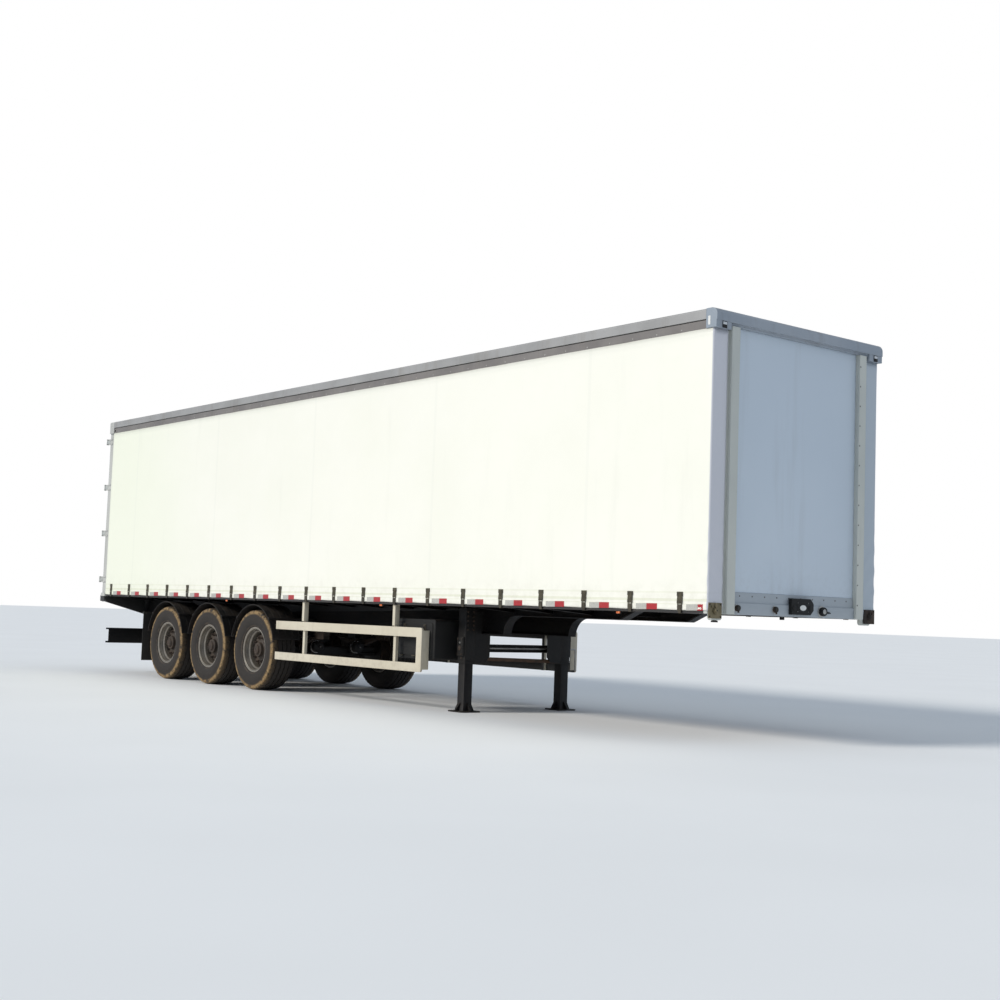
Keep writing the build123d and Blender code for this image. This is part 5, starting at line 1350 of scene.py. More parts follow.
def mountRim(place, x, sideName, side):
    bench = Bench("rimParts")
    hub = (x, 0, wheel["height"])
    axis = (0, 1, 0)
    sides = wheel["rimSides"]
    middle = side * wheel["middleY"]

    def out(distance):
        return middle + side * distance

    front = [(out(w), r) for w, r in rimSection]
    back = [(out(w), r) for w, r in rimBack]
    whole = front + [(2 * middle - y, r) for y, r in reversed(front)]
    whole += [(2 * middle - y, r) for y, r in reversed(back)] + back
    bench.lathe(hub, axis, whole, wheelSilver, sides, closed=True)
    discWithHoles(bench, x, middle, side, wheelBrown)
    flat = [(out(0.042), 0.1935), (out(0.042), 0.142), (out(0.031), 0.142), (out(0.031), 0.1935)]
    bench.lathe(hub, axis, flat, wheelBrown, sides, closed=True)
    weld = [(out(-w - wheel["well"]), r) for w, r in (
        (0.006, 0.242), (-0.006, 0.242), (-0.006, 0.2475), (0.006, 0.2475),
    )]
    bench.lathe(hub, axis, weld, wheelBrown, sides, closed=True)
    nose = [
        (out(0.040), 0.1415), (out(0.049), 0.1405), (out(0.054), 0.1180), (out(0.062), 0.1000),
        (out(0.080), 0.0960), (out(0.098), 0.0945), (out(0.103), 0.0900), (out(0.105), 0.0700),
    ]
    bench.lathe(hub, axis, nose, wheelBrown, 48)
    cap = [
        (out(0.098), 0.0740), (out(0.104), 0.0760), (out(0.108), 0.0740), (out(0.113), 0.0640),
        (out(0.124), 0.0600), (out(0.1285), 0.0520), (out(0.1295), 0.0200),
    ]
    bench.lathe(hub, axis, cap, drumIron, 40)
    drum = [
        (out(-0.254), 0.1950), (out(-0.254), 0.2085), (out(-0.238), 0.2100), (out(-0.232), 0.2065),
        (out(-0.080), 0.2050), (out(-0.062), 0.2090), (out(-0.045), 0.2090), (out(-0.016), 0.1870),
        (out(0.026), 0.1860), (out(0.026), 0.1400), (out(-0.025), 0.1400), (out(-0.062), 0.1940),
    ]
    bench.lathe(hub, axis, drum, drumIron, 64, closed=True)
    valve = Vector((x, 0, wheel["height"])) + Vector((0.205, out(0.010), 0.075))
    bench.rod(valve, valve + Vector((0.006, side * 0.060, 0.002)), 0.0045, strapSteel, 8)
    base = bench.deliver(body=None)
    nut = Bench("wheelNut")
    radius = 0.0185
    direction = (0, side, 0)
    nut.lathe((0, 0, 0), direction, [(0, 0.0225), (0.004, 0.0225)], drumIron, 12)
    nut.lathe((0, 0, 0), direction, [(0.004, radius), (0.022, radius), (0.026, radius * 0.8)], drumIron, 6)
    nut.lathe((0, 0, 0), direction, [(0.026, 0.0105), (0.044, 0.0105), (0.047, 0.0085)], drumIron, 8)
    ring = layOut(
        "wheelNuts", rings, nut,
        {
            "Centre": (x, out(0.042), wheel["height"]), "Radius": wheel["nutCircle"], "Count": wheel["nuts"],
            "Finish": drumIron,
        },
    )
    body = f"wheel_{place.lower()}_{sideName.lower()}"
    name = f"rim{place}{sideName}"
    data = base.data
    bpy.data.objects.remove(base)
    return merged(name, [data, ring], body, (f"rim_{place.lower()}_{sideName.lower()}",), 34.0)


for place, x in wheel["axles"].items():
    for sideName, side in (("Right", -1), ("Left", 1)):
        mountTyre(place.capitalize(), x, sideName, side)
        mountRim(place.capitalize(), x, sideName, side)
print("wheels mounted")


# Bevelled copies: each stands in place of a hard-edged node

easedNodes = {
    "width": 0.0025,
    "sharpAngle": 32.0,
    "flatAngle": 1.2,
    "joinDistance": 0.00002,
    "wide": {
        "front_header": 0.004, "bulkhead_pillars": 0.003, "toolbox": 0.005, "air_tanks": 0.006,
        "landing_feet": 0.004, "dock_buffers": 0.006, "main_beams": 0.002, "cross_members": 0.0012,
        "leaf_springs": 0.0016, "roof_bows": 0.003,
    },
}


def easedShape(node, width, segments=2):
    # the node's triangles joined into faces, with every sharp edge bevelled
    shape = bmesh.new()
    shape.from_mesh(nodes[node].data)
    bmesh.ops.remove_doubles(shape, verts=shape.verts, dist=easedNodes["joinDistance"])
    bmesh.ops.dissolve_limit(
        shape, angle_limit=math.radians(easedNodes["flatAngle"]), verts=shape.verts[:], edges=shape.edges[:],
    )
    sharp = math.radians(easedNodes["sharpAngle"])
    edges = [edge for edge in shape.edges if len(edge.link_faces) == 2 and edge.calc_face_angle(0.0) > sharp]
    bmesh.ops.bevel(
        shape, geom=edges, offset=width, offset_type="OFFSET", segments=segments, profile=0.6, affect="EDGES",
        clamp_overlap=True,
    )
    return shape


def easeNode(node, finish, body="chassis", segments=2):
    shape = easedShape(node, easedNodes["wide"].get(node, easedNodes["width"]), segments)
    words = node.split("_")
    name = words[0] + "".join(word.capitalize() for word in words[1:])
    data = bpy.data.meshes.new(name)
    shape.to_mesh(data)
    shape.free()
    data.materials.append(finish)
    return settle(name, data, body, (node,), 40.0)


for node, finish, slot, segments in (
    ("bulkhead_pillars", pillarPaint, "cream_paint", 2),
    ("bulkhead_panel", wallPaint, "wall_paint", 2),
    ("bulkhead_rail", wallPaint, "wall_paint", 2),
    ("front_header", headerPaint, "header_paint", 3),
    ("side_guard_left", creamPaint, "cream_paint", 2),
    ("side_guard_right", creamPaint, "cream_paint", 2),
    ("side_rails", railPaint, "chassis_paint", 1),
    ("rear_frame", framePaint, "frame_paint", 2),
    ("main_beams", chassisBlack, "chassis_paint", 1),
    ("cross_members", chassisBlack, "chassis_paint", 1),
    ("axles", chassisBlack, "chassis_paint", 2),
    ("leaf_springs", springSteel, "spring_steel", 1),
    ("spring_hangers", springSteel, "chassis_paint", 1),
    ("mudguards", guardPlastic, "black_plastic", 1),
    ("mudflaps", flapRubber, "flap_rubber", 1),
    ("landing_legs", legPaint, "chassis_paint", 2),
    ("landing_feet", chassisBlack, "chassis_paint", 2),
    ("landing_shaft", rodSteel, "bare_steel", 2),
    ("toolbox", blackPlastic, "black_plastic", 3),
    ("air_tanks", chassisBlack, "chassis_paint", 2),
    ("underrun_beam", chassisBlack, "chassis_paint", 2),
    ("dock_buffers", flapRubber, "flap_rubber", 3),
    ("service_connectors", blackPlastic, "black_plastic", 2),
    ("roof_bows", rodSteel, "bare_steel", 1),
):
    easeNode(node, finish, "chassis", segments)
for side in ("left", "right"):
    easeNode(f"door_{side}", doorPaint, f"door_{side}")
    easeNode(f"door_locks_{side}", rodSteel, f"door_{side}")
print("nodes bevelled")


# Rivets and bolts

rivetRows = {
    # name: (finish, axis, radius, height, start, step, count, both sides)
    "pillarRivets": (rivetSteel, (1, 0, 0), 0.0085, 0.0035, (6.680, 0.924, 1.350), (0, 0, 0.2025), 13, False),
    "nearPillarRivets": (
        pillarPaint, (1, 0, 0), 0.0065, 0.0028, (6.680, -0.924, 1.350), (0, 0, 0.2025), 13, False,
    ),
    "railRivets": (rivetSteel, (1, 0, 0), 0.0085, 0.0035, (6.636, -0.80, 1.386), (0, 0.1778, 0), 10, False),
    "headerRivets": (headerPaint, (1, 0, 0), 0.0060, 0.0026, (6.664, -0.98, 3.918), (0, 0.14, 0), 15, False),
    "roofRailRivets": (rodSteel, (0, 1, 0), 0.0060, 0.0030, (-6.30, 1.252, 3.884), (0.33, 0, 0), 39, True),
    "guardTopBolts": (creamPaint, (0, 1, 0), 0.0095, 0.0040, (-0.4275, 1.212, 0.895), (0.025, 0, 0), 2, True),
    "guardLowBolts": (creamPaint, (0, 1, 0), 0.0095, 0.0040, (-0.4275, 1.212, 0.490), (0.025, 0, 0), 2, True),
    "frameRivets": (framePaint, (-1, 0, 0), 0.0060, 0.0030, (-6.6115, 0.10, 3.985), (0, 0.105, 0), 11, True),
}


def setHeads(name, headShape, finish, axis, start, step, count, both, slot=None):
    # a row of heads on one side of the trailer or on both
    shapes = []
    for side in (1, -1) if both else (1,):
        facing, first, pitch = ((point[0], point[1] * side, point[2]) for point in (axis, start, step))
        values = {"Start": first, "Step": pitch, "Count": count, "Finish": finish}
        shapes.append(layOut(name, rows, headShape(facing), values))
    merged(name, shapes, "chassis")


for name, (finish, axis, radius, height, *places) in rivetRows.items():
    setHeads(
        name, lambda facing: domeHead(name + "Head", radius, height, finish, facing), finish, axis, *places,
    )

boltRows = {
    # name: (finish, axis, width across flats, height, start, step, count, both sides)
    "legFrontBoltsOuter": (drumIron, (1, 0, 0), 0.019, 0.011, (2.5083, 0.785, 0.945), (0, 0, 0.052), 5, True),
    "legFrontBoltsInner": (drumIron, (1, 0, 0), 0.019, 0.011, (2.5083, 0.700, 0.945), (0, 0, 0.052), 5, True),
    "legBackBolts": (drumIron, (-1, 0, 0), 0.019, 0.011, (2.3717, 0.742, 0.945), (0, 0, 0.052), 5, True),
    "underrunBolts": (strapSteel, (-1, 0, 0), 0.024, 0.014, (-6.418, 0.50, 0.520), (0, 0, 0.060), 3, True),
    "flapBolts": (strapSteel, (1, 0, 0), 0.015, 0.008, (-5.092, 0.850, 0.962), (0, 0.08, 0), 5, True),
    "beamBolts": (chassisBlack, (0, 1, 0), 0.019, 0.010, (2.385, 0.5040, 1.010), (0.055, 0, 0), 3, True),
}


for name, (finish, axis, across, height, *places) in boltRows.items():
    setHeads(
        name, lambda facing: hexHead(name + "Head", across, height, finish, facing), finish, axis, *places,
        "bare_steel",
    )
print("rivets and bolts set")


# Side and corner lamps

lamps = {
    "sides": (-2.43, 1.38, 5.465), "length": 0.060, "low": 1.182, "high": 1.2098, "face": 1.240,
    "base": 0.020, "proud": 0.008, "rim": 0.004, "topRim": 0.003, "lens": 0.010, "screwIn": 0.010,
    "screwZ": 1.196, "corner": (1.118, 1.182), "cornerLow": 3.8625, "cornerHigh": 3.9258, "cornerFace": 6.700,
    "cornerRim": 0.006, "cornerLens": (0.030, 0.005), "buttonRise": 0.017,
    "button": ((0, 0.012), (0.003, 0.011), (0.004, 0.008)),
}


def fitLamps():
    bench = Bench("markerLamps")
    half = lamps["length"] / 2
    face, rim, low, high = (lamps[key] for key in ("face", "rim", "low", "high"))
    for x in lamps["sides"]:
        back = (x - half, face - lamps["base"], low)
        bench.block(back, (x + half, face - lamps["proud"], high), blackPlastic, 0.002)
        corner = (x - half + rim, face - lamps["lens"], low + rim)
        bench.block(corner, (x + half - rim, face, high - lamps["topRim"]), amberLens, 0.005, segments=3)
        screw = x - half + lamps["screwIn"]
        bench.rod(
            (screw, face - 0.006, lamps["screwZ"]), (screw, face - 0.0005, lamps["screwZ"]), 0.0022,
            rivetSteel, 8,
        )
    left, right = lamps["corner"]
    bottom, top, front, edge = (lamps[key] for key in ("cornerLow", "cornerHigh", "cornerFace", "cornerRim"))
    lensLow, lensHigh = lamps["cornerLens"]
    bench.block((front - 0.008, left, bottom), (front - 0.002, right, top), blackPlastic, 0.0025)
    bench.block(
        (front - edge, left + edge, top - lensLow), (front, right - edge, top - lensHigh), clearLens, 0.003,
        segments=3,
    )
    button = (front - rim, (left + right) / 2, bottom + lamps["buttonRise"])
    bench.lathe(button, (1, 0, 0), lamps["button"], blackPlastic, 20)
    bench.addMirror()
    bench.deliver("chassis", "lamp_lens", ("marker_lamps",))


fitLamps()
print("marker lamps fitted")


# Curtain tensioners at the front corners: a ratchet with its lever and pawl on a bolted plate

ratchet = {
    "y": 1.152, "z": 1.240, "face": 6.650, "plate": 0.006, "teeth": 16, "reach": 0.036, "root": 0.0295,
    "width": (1.062, 1.242), "height": (1.168, 1.312), "toothBack": 0.008, "toothThick": 0.009,
    "screwIn": 0.016, "hub": ((0, 0.024), (0.015, 0.024), (0.017, 0.020), (0.024, 0.018), (0.026, 0.014)),
    "screw": ((0, 0.0085), (0.0045, 0.0085), (0.0055, 0.007)), "leverBack": 0.018,
    "leverTip": ((0.008, 0.010), (0, 0.002), (-0.008, 0.010)),
    "pawl": ((0.034, 0.034), (0.052, 0.046), (0.056, 0.034), (0.036, 0.020)),
}


def fitRatchet(name, side, finish):
    bench = Bench(name)
    face = ratchet["face"]
    ys = sorted(side * y for y in ratchet["width"])
    low, high = ratchet["height"]
    bench.block((face, ys[0], low), (face + ratchet["plate"], ys[1], high), finish, 0.0022, segments=2)
    middle, height = side * ratchet["y"], ratchet["z"]
    outline = []
    for i in range(ratchet["teeth"]):
        for share, radius in ((0.0, ratchet["reach"]), (0.72, ratchet["root"])):
            turn = 2 * math.pi * (i + share) / ratchet["teeth"]
            outline.append(crossRound(face + ratchet["toothBack"], middle, height, turn, radius))
    bench.prism(outline, (ratchet["toothThick"], 0, 0), finish, 0.0008)
    bench.lathe((face + ratchet["plate"], middle, height), (1, 0, 0), ratchet["hub"], finish, 28)
    bench.lathe((face + 0.0315, middle, height), (1, 0, 0), [(0, 0.0085), (0.0006, 0.0085)], blackPlastic, 4)
    lever = [(face + ratchet["leverBack"], middle + y, height - 0.004) for y in (-0.011, 0.011)]
    lever += [(face + ratchet["leverBack"], middle + y, high - drop) for y, drop in ratchet["leverTip"]]
    bench.prism(lever, (0.007, 0, 0), finish, 0.0015)
    pawl = [(face + ratchet["toothBack"], middle + side * y, height + z) for y, z in ratchet["pawl"]]
    bench.prism(pawl, (0.008, 0, 0), finish, 0.001)
    near, far = ratchet["width"]
    for y in (near + ratchet["screwIn"], far - ratchet["screwIn"]):
        for z in (low + ratchet["screwIn"], high - ratchet["screwIn"]):
            bench.lathe((face + ratchet["plate"], side * y, z), (1, 0, 0), ratchet["screw"], drumIron, 6)
    return bench


fitRatchet("tensionerRight", -1, oliveSteel).deliver("chassis", "strap_steel", ("curtain_tensioners",))
fitRatchet("tensionerLeft", 1, drumIron).deliver("chassis", "strap_steel")
print("tensioners fitted")


# Service fittings: round caps, a blank oval badge plate, one ribbed socket and two couplings

fittings = {
    "strip": 6.650, "face": 6.688, "boxY": 0.060, "boxZ": 1.306, "boxHalf": 0.088, "boxLow": 0.052,
    "boxHigh": 0.050, "boxProud": 0.003, "boxScrews": ((-0.079, 0.079), (-0.043, 0.041)),
    "capYs": (-0.062, 0.172), "capDrop": 0.012, "ovalWidth": 0.047, "ovalHeight": 0.027, "ovalDrop": 0.006,
    "ovalSides": 32, "roundY": 0.390, "roundZ": 1.272, "ribX": 6.668, "ribs": 24,
    "ribRadii": (0.0430, 0.0455), "couplingYs": (-0.860, -0.320),
    "cap": ((0, 0.029), (0.006, 0.029), (0.009, 0.025), (0.010, 0.010)),
    "screw": ((0, 0.0055), (0.002, 0.0052), (0.0032, 0.0035)),
    "socketRing": ((0, 0.056), (0.005, 0.056), (0.007, 0.052)),
    "socketLid": ((0, 0.026), (0.003, 0.024), (0.005, 0.016)),
    "couplingNut": ((0, 0.036), (0.006, 0.036), (0.008, 0.032)),
    "couplingBody": ((0, 0.0285), (0.012, 0.0300), (0.020, 0.0290), (0.024, 0.0275)),
    "couplingSeal": ((0, 0.021), (0.0025, 0.020), (0.0030, 0.010)),
}


def dressFittings():
    bench = Bench("serviceTrim")
    face, middle, height = fittings["face"], fittings["boxY"], fittings["boxZ"]
    forward = (1, 0, 0)
    front = face + fittings["boxProud"]
    bench.block(
        (face - 0.002, middle - fittings["boxHalf"], height - fittings["boxLow"]),
        (front, middle + fittings["boxHalf"], height + fittings["boxHigh"]), blackPlastic, 0.0025, segments=2,
    )
    oval = []
    for i in range(fittings["ovalSides"]):
        turn = 2 * math.pi * i / fittings["ovalSides"]
        drop = height - fittings["ovalDrop"]
        oval.append(crossRound(front, middle, drop, turn, fittings["ovalWidth"], fittings["ovalHeight"]))
    bench.prism(oval, (0.0035, 0, 0), whitePlastic, 0.0012)
    for y in fittings["capYs"]:
        bench.lathe(
            (face - 0.002, y, height - fittings["capDrop"]), forward, fittings["cap"], blackPlastic, 28,
        )
    for y in fittings["boxScrews"][0]:
        for z in fittings["boxScrews"][1]:
            bench.lathe((front, middle + y, height + z), forward, fittings["screw"], rivetSteel, 10)
    y, z, strip = fittings["roundY"], fittings["roundZ"], fittings["strip"]
    rib = []
    for i in range(fittings["ribs"]):
        turn = 2 * math.pi * i / fittings["ribs"]
        rib.append(crossRound(fittings["ribX"], y, z, turn, fittings["ribRadii"][i % 2]))
    bench.prism(rib, (0.016, 0, 0), blackPlastic, 0.0008)
    bench.lathe((strip, y, z), forward, fittings["socketRing"], rodSteel, 32)
    bench.lathe((6.6925, y, z), forward, fittings["socketLid"], rodSteel, 24)
    bench.rod((6.672, y + 0.040, z - 0.008), (6.672, y + 0.118, z - 0.012), 0.006, blackPlastic, 10)
    for y in fittings["couplingYs"]:
        bench.lathe((strip, y, z), forward, fittings["couplingNut"], rodSteel, 6)
        bench.lathe((6.656, y, z), forward, fittings["couplingBody"], drumIron, 24)
        bench.lathe((6.6855, y, z), forward, fittings["couplingSeal"], flapRubber, 20)
        bench.block((6.674, y - 0.010, z - 0.044), (6.686, y + 0.010, z - 0.020), drumIron, 0.003)
    bench.deliver("chassis", "black_plastic")


dressFittings()
print("service fittings dressed")


# Toolbox: lid seam, hinge, latches; air tanks: straps and drain taps

locker = {
    "face": -1.092, "left": 1.540, "right": 2.240, "bottom": 0.625, "top": 1.010, "latchXs": (1.690, 2.090),
}


def dressToolbox():
    bench = Bench("toolboxTrim")
    face = locker["face"]
    for rise in (0.10, 0.19, 0.28):
        z = locker["bottom"] + rise
        bench.block(
            (locker["left"] + 0.03, face - 0.004, z - 0.006),
            (locker["right"] - 0.03, face + 0.003, z + 0.006), blackPlastic, 0.003,
        )
    for x in locker["latchXs"]:
        bench.block(
            (x - 0.024, face - 0.010, locker["top"] - 0.085),
            (x + 0.024, face + 0.002, locker["top"] - 0.020), strapSteel, 0.004, segments=2,
        )
        bench.block(
            (x - 0.014, face - 0.017, locker["top"] - 0.078),
            (x + 0.014, face - 0.008, locker["top"] - 0.040), blackPlastic, 0.004, segments=2,
        )
        bench.rod(
            (x - 0.018, face - 0.012, locker["top"] - 0.030),
            (x + 0.018, face - 0.012, locker["top"] - 0.030), 0.0035, strapSteel, 8,
        )
    for x in (1.640, 1.890, 2.140):
        bench.rod(
            (x - 0.035, face - 0.004, locker["bottom"] - 0.006),
            (x + 0.035, face - 0.004, locker["bottom"] - 0.006), 0.007, strapSteel, 12,
        )
    bench.deliver("chassis", "black_plastic")


dressToolbox()

tankTrim = {"xs": (0.730, 1.100), "z": 0.760, "radius": 0.125, "bandYs": (-0.30, 0.30), "bandWidth": 0.016}


def strapTanks():
    bench = Bench("tankTrim")
    radius = tankTrim["radius"]
    for x in tankTrim["xs"]:
        for y in tankTrim["bandYs"]:
            half = tankTrim["bandWidth"]
            ring = [
                (-half, radius - 0.001), (-half, radius + 0.0035), (half, radius + 0.0035),
                (half, radius - 0.001),
            ]
            bench.lathe((x, y, tankTrim["z"]), (0, 1, 0), ring, rodSteel, 48, closed=True)
            bench.rod(
                (x + 0.02, y, tankTrim["z"] - radius - 0.004), (x - 0.02, y, tankTrim["z"] - radius - 0.004),
                0.006, drumIron, 8,
            )
        bench.lathe(
            (x, 0.05, tankTrim["z"] - radius - 0.026), (0, 0, 1),
            [(0, 0.006), (0.008, 0.010), (0.018, 0.010), (0.028, 0.014)], rodSteel, 6,
        )
        for y in (-0.519, 0.519):
            bench.lathe(
                (x, y - 0.012, tankTrim["z"]), (0, 1, 0),
                [(0, 0.017), (0.006, 0.019), (0.018, 0.019), (0.024, 0.017)], drumIron, 6,
            )
    bench.deliver("chassis", "chassis_paint")


strapTanks()
print("toolbox and tanks dressed")


# Rear doors: rubber seals, panel rivets, hinge bolts, rod guides and handle catches

doorTrim = {
    "face": -6.640, "inner": 0.0065, "outer": 1.2245, "bottom": 1.3005, "top": 3.8995, "seal": 0.013,
    "proud": 0.0045, "hingeZs": (1.48, 2.23, 2.98, 3.73), "strapFace": -6.648, "boltYs": (1.085, 1.140),
    "rodYs": (0.190, 1.040), "rodX": -6.662, "guideZs": (1.41, 1.85, 2.60, 3.62), "guideHalf": 0.025,
    "handles": ((0.190, 1.607, 1), (1.040, 1.709, -1)), "handleX": -6.6835, "handleReach": 0.42,
}


def trimDoor(name, side):
    body = f"door_{name}"
    bench = Bench(f"doorTrim{name.capitalize()}")
    face = doorTrim["face"]
    proud = face - doorTrim["proud"]
    low, high, bottom, top = (doorTrim[key] for key in ("inner", "outer", "bottom", "top"))
    seal = doorTrim["seal"]

    def block(x, y, z, finish, edge=0.002):
        ys = sorted((side * y[0], side * y[1]))
        bench.block((min(x), ys[0], z[0]), (max(x), ys[1], z[1]), finish, edge)

    for y in ((low, low + seal), (high - seal, high)):
        block((proud, face + 0.001), y, (bottom, top), flapRubber)
    for z in ((bottom, bottom + seal), (top - seal, top)):
        block((proud, face + 0.001), (low + seal, high - seal), z, flapRubber)
    for z in doorTrim["hingeZs"]:
        for y in doorTrim["boltYs"]:
            seat = (doorTrim["strapFace"], side * y, z)
            bench.lathe(seat, (-1, 0, 0), [(0, 0.0115), (0.0015, 0.0115)], rivetSteel, 16)
            bench.lathe(seat, (-1, 0, 0), [(0.0015, 0.0092), (0.0075, 0.0092), (0.0088, 0.0075)], drumIron, 6)
    for y in doorTrim["rodYs"]:
        for z in doorTrim["guideZs"]:
            for shift in (-1, 1):
                seat = (doorTrim["rodX"], side * (y + shift * doorTrim["guideHalf"]), z)
                bench.lathe(seat, (-1, 0, 0), [(0, 0.0070), (0.0045, 0.0070), (0.0055, 0.0055)], drumIron, 6)
            collar = (doorTrim["rodX"], side * y, z - 0.032)
            bench.lathe(
                collar, (0, 0, 1), [(0, 0.0155), (0.003, 0.0170), (0.009, 0.0170), (0.012, 0.0155)], rodSteel,
                20,
            )
    for y, z, direction in doorTrim["handles"]:
        hub = (doorTrim["rodX"], side * y, z - 0.030)
        bench.lathe(
            hub, (0, 0, 1), [(0, 0.0165), (0.004, 0.0185), (0.056, 0.0185), (0.060, 0.0165)], rodSteel, 20,
        )
        tip = y + direction * (doorTrim["handleReach"] - 0.06)
        start = (doorTrim["handleX"], side * tip, z)
        end = (doorTrim["handleX"], side * (tip + direction * 0.055), z)
        bench.rod(start, end, 0.0090, blackPlastic, 16, 0.3)
        catch = y + direction * (doorTrim["handleReach"] * 0.62)
        block(
            (face - 0.018, face + 0.001), (catch - 0.022, catch + 0.022), (z - 0.040, z + 0.036), rodSteel,
            0.003,
        )
        block(
            (face - 0.049, face - 0.016), (catch - 0.016, catch + 0.016), (z - 0.036, z - 0.020), rodSteel,
            0.002,
        )
    bench.deliver(body, "bare_steel")
    shapes = []
    for y in (0.041, 1.190):
        values = {"Start": (face, side * y, 1.345), "Step": (0, 0, 0.1255), "Count": 21, "Finish": doorPaint}
        shapes.append(layOut(
            "panelRivets", rows, domeHead("panelRivet", 0.0062, 0.0028, doorPaint, (-1, 0, 0)), values,
        ))
    for z in (1.335, 3.865):
        values = {
            "Start": (face, side * 0.12, z), "Step": (0, side * 0.124, 0), "Count": 9, "Finish": doorPaint,
        }
        shapes.append(layOut(
            "panelRivets", rows, domeHead("panelRivet", 0.0062, 0.0028, doorPaint, (-1, 0, 0)), values,
        ))
    merged(f"panelRivets{name.capitalize()}", shapes, body)


trimDoor("left", 1)
trimDoor("right", -1)
print("doors trimmed")


# Tail lamps with three lenses, a blank plate on its holder and plate lamps

rearLights = {
    "face": -6.607, "depth": 0.028, "inner": 0.760, "outer": 1.080, "low": 1.140, "high": 1.230,
    "zones": ((0.768, 0.852, "clear"), (0.856, 0.986, "red"), (0.990, 1.072, "amber")),
    "plateX": -6.520, "plateHalf": 0.252, "plateLow": 0.524, "plateHigh": 0.636, "plateThick": 0.0025,
}


def fitRearLights():
    bench = Bench("tailLamps")
    face = rearLights["face"]
    rear = face - rearLights["depth"]
    lenses = {"clear": clearLens, "red": redLens, "amber": amberLens}
    low, high = rearLights["low"], rearLights["high"]
    bench.block(
        (rear + 0.010, rearLights["inner"], low), (face, rearLights["outer"], high), blackPlastic, 0.006,
        segments=3,
    )
    for left, right, kind in rearLights["zones"]:
        bench.block(
            (rear, left, low + 0.008), (rear + 0.014, right, high - 0.008), lenses[kind], 0.006, segments=3,
        )
        middle = (left + right) / 2
        bench.lathe(
            (rear + 0.0012, middle, (low + high) / 2), (-1, 0, 0),
            [(0, 0.027), (0.0010, 0.025), (0.0012, 0.018)], lenses[kind], 24,
        )
    for y in (rearLights["inner"] + 0.004, 0.988):
        bench.lathe((rear + 0.008, y, high - 0.006), (-1, 0, 0), [(0, 0.0035), (0.002, 0.003)], rivetSteel, 8)
    bench.addMirror()
    bench.deliver("chassis", "tail_lens", ("tail_lamps",))
    bench = Bench("blankPlate")
    x, half = rearLights["plateX"], rearLights["plateHalf"]
    bottom, top = rearLights["plateLow"], rearLights["plateHigh"]
    bench.block((x - rearLights["plateThick"], -half, bottom), (x - 0.0002, half, top), whitePlastic, 0.001)
    bench.block(
        (x - 0.0035, -half + 0.004, bottom + 0.004), (x - 0.002, half - 0.004, bottom + 0.007), blackPlastic,
        0.0006,
    )
    bench.block(
        (x - 0.0035, -half + 0.004, top - 0.007), (x - 0.002, half - 0.004, top - 0.004), blackPlastic,
        0.0006,
    )
    for y in (-0.19, 0.19):
        bench.lathe(
            (x - 0.0025, y, 0.580), (-1, 0, 0), [(0, 0.0060), (0.0015, 0.0056), (0.0025, 0.0035)], rivetSteel,
            10,
        )
        bench.block(
            (x - 0.030, y - 0.030, 0.700), (x + 0.012, y + 0.030, 0.722), blackPlastic, 0.005, segments=2,
        )
        bench.block((x - 0.026, y - 0.022, 0.6965), (x - 0.004, y + 0.022, 0.7025), clearLens, 0.001)
    bench.deliver("chassis")


fitRearLights()
print("rear lights fitted")


# Mudguards: rolled edges and moulded ribs round each arch

arch = {
    "xs": (-1.685, -2.995, -4.305), "z": 0.5745, "radius": 0.5780, "end": 12.5, "steps": 30,
    "rolls": ((0.8175, 0.0050), (0.9200, 0.0032), (1.0250, 0.0032), (1.1300, 0.0032), (1.2320, 0.0055)),
}


def rollArches():
    bench = Bench("mudguardEdges")
    for x in arch["xs"]:
        for y, radius in arch["rolls"]:
            points = []
            for i in range(arch["steps"] + 1):
                turn = math.radians(arch["end"] + (180 - 2 * arch["end"]) * i / arch["steps"])
                reach = arch["radius"]
                points.append((x + reach * math.cos(turn), y, arch["z"] + reach * math.sin(turn)))
            bench.tube(points, radius, guardPlastic, 8)
    bench.addMirror()
    bench.deliver("chassis", "black_plastic")


rollArches()


# Brakes: chamber bands, air ports, push rods and slack adjusters

brake = {
    "y": 0.330, "z": 0.6025, "radius": 0.080, "start": 0.120, "length": 0.170,
    "adjuster": ((0.072, 0.500), (0.120, 0.500), (0.114, 0.632), (0.088, 0.632)),
}


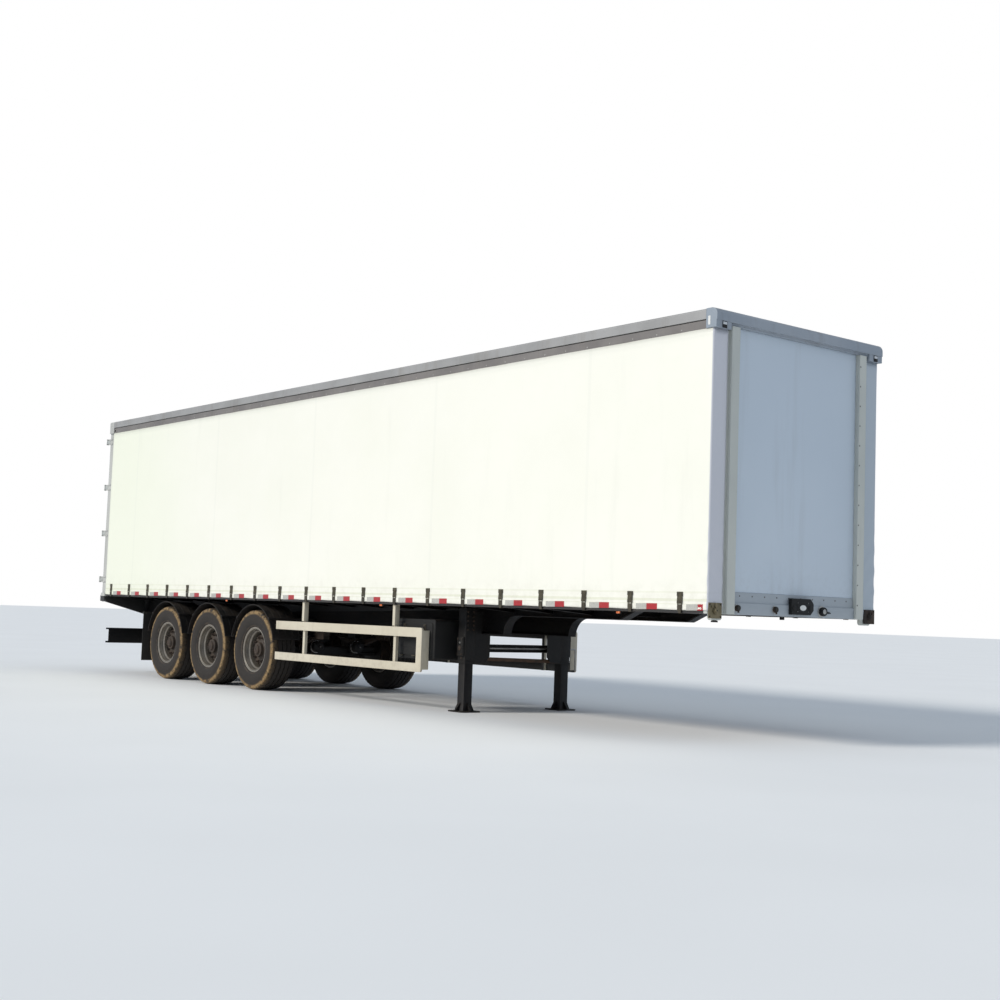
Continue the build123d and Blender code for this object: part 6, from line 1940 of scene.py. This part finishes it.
def dressBrakes():
    bench = Bench("brakeParts")
    for x in arch["xs"]:
        band = (x + brake["start"] + brake["length"] * 0.5, brake["y"], brake["z"])
        radius = brake["radius"]
        ring = [
            (-0.011, radius - 0.001), (-0.011, radius + 0.007), (0.011, radius + 0.007),
            (0.011, radius - 0.001),
        ]
        bench.lathe(band, (1, 0, 0), ring, rodSteel, 36, closed=True)
        bench.block(
            (band[0] - 0.014, band[1] - 0.012, band[2] + radius),
            (band[0] + 0.014, band[1] + 0.012, band[2] + radius + 0.024), drumIron, 0.003,
        )
        dome = (x + brake["start"] + brake["length"], brake["y"], brake["z"])
        bench.lathe(
            dome, (1, 0, 0), [(0, 0.074), (0.010, 0.066), (0.018, 0.044), (0.021, 0.016)], chassisBlack, 36,
        )
        bench.lathe(
            (dome[0] + 0.018, dome[1], dome[2]), (1, 0, 0), [(0, 0.009), (0.020, 0.009), (0.023, 0.007)],
            rodSteel, 6,
        )
        bench.rod(
            (x + 0.074, brake["y"], brake["z"] + 0.010),
            (x + brake["start"] + 0.004, brake["y"], brake["z"] + 0.010), 0.008, rodSteel, 10,
        )
        adjuster = [(x + along, brake["y"] - 0.012, z) for along, z in brake["adjuster"]]
        bench.prism(adjuster, (0, 0.024, 0), drumIron, 0.004)
        bench.rod((x + 0.096, brake["y"] - 0.030, 0.515), (x + 0.096, 0.748, 0.515), 0.016, chassisBlack, 14)
    bench.addMirror()
    bench.deliver("chassis", "chassis_paint")


dressBrakes()
print("arches and brakes dressed")


# Landing gear: gear covers, collars, grease points and foot gussets

gear = {
    "x": 2.440, "y": 0.742, "coverY": 0.8343, "low": 0.650, "high": 0.850, "half": 0.0683, "shaftZ": 0.735,
    "plateX": 2.500, "plate": (
        (0.6740, 0.565), (0.6740, 1.150), (0.5660, 1.150), (0.5660, 0.8985), (0.4440, 0.8985),
        (0.4440, 0.640), (0.500, 0.575),
    ),
}


def dressLegs():
    bench = Bench("legParts")
    x, y, half = gear["x"], gear["y"], gear["half"]
    cover = gear["coverY"]
    bench.block(
        (x - 0.047, cover - 0.002, gear["low"]), (x + 0.047, cover + 0.005, gear["high"]), chassisBlack,
        0.003, segments=2,
    )
    for px in (x - 0.036, x + 0.036):
        for pz in (gear["low"] + 0.014, gear["high"] - 0.014):
            bench.lathe(
                (px, cover + 0.005, pz), (0, 1, 0), [(0, 0.0085), (0.006, 0.0085), (0.0072, 0.007)], drumIron,
                6,
            )
    bench.lathe(
        (x, cover + 0.004, gear["shaftZ"]), (0, 1, 0), [(0, 0.030), (0.008, 0.028), (0.011, 0.020)], drumIron,
        28,
    )
    bench.lathe(
        (x, cover + 0.004, gear["high"] - 0.055), (0, 1, 0),
        [(0, 0.012), (0.004, 0.012), (0.005, 0.006), (0.011, 0.005)], rodSteel, 12,
    )
    low = 0.556
    for rise, grow in ((0.0, 0.0045), (0.030, 0.0030)):
        edge = half + grow
        thick = 0.010 if rise else 0.022
        for sx in (-1, 1):
            xs = sorted((x + sx * half, x + sx * edge))
            bench.block(
                (xs[0], y - edge, low + rise), (xs[1], y + edge, low + rise + thick), chassisBlack, 0.001,
            )
            ys = sorted((y + sx * half, y + sx * edge))
            bench.block(
                (x - half, ys[0], low + rise), (x + half, ys[1], low + rise + thick), chassisBlack, 0.001,
            )
    for sx, sy in ((1, 0), (-1, 0), (0, 1), (0, -1)):
        across = Vector((-sy, sx, 0)) * 0.005
        out = Vector((sx, sy, 0))
        foot = Vector((x, y, 0))
        outline = [
            foot + out * 0.060 + Vector((0, 0, 0.112)) - across,
            foot + out * 0.060 + Vector((0, 0, 0.090)) - across,
            foot + out * 0.082 + Vector((0, 0, 0.0145)) - across,
            foot + out * 0.132 + Vector((0, 0, 0.0145)) - across,
            foot + out * 0.132 + Vector((0, 0, 0.024)) - across,
        ]
        bench.prism(outline, across * 2, chassisBlack, 0.001)
    bench.rod((x, y - 0.078, 0.620), (x, y + 0.074, 0.620), 0.011, drumIron, 14)
    bench.prism([(gear["plateX"], py, pz) for py, pz in gear["plate"]], (0.008, 0, 0), chassisBlack, 0.001)
    bench.addMirror()
    bench.deliver("chassis", "chassis_paint")


dressLegs()
print("landing gear dressed")


# Small marks seen on the body: a pale plate on the roof rail's end and a dark plug at the rear

marks = {"plate": ((6.588, 1.2605, 3.890), (6.616, 1.2640, 3.975)), "plug": (-6.420, 1.2500, 3.900)}


def fitMarks():
    bench = Bench("railMarks")
    low, high = marks["plate"]
    bench.block(low, high, whitePlastic, 0.001)
    bench.lathe(marks["plug"], (0, 1, 0), [(0, 0.020), (0.004, 0.018), (0.006, 0.010)], blackPlastic, 20)
    bench.addMirror()
    bench.deliver("chassis")


fitMarks()
print("marks fitted")


# Floor of the studio

floorPlane = bpy.data.meshes.new("studioFloor")
reach = studio["floorSize"] / 2
floorPlane.from_pydata(
    [(-reach, -reach, 0), (reach, -reach, 0), (reach, reach, 0), (-reach, reach, 0)], [], [(0, 1, 2, 3)],
)
floorPlane.materials.append(floorFinish())
floorObject = bpy.data.objects.new("studioFloor", floorPlane)
bpy.context.scene.collection.objects.link(floorObject)
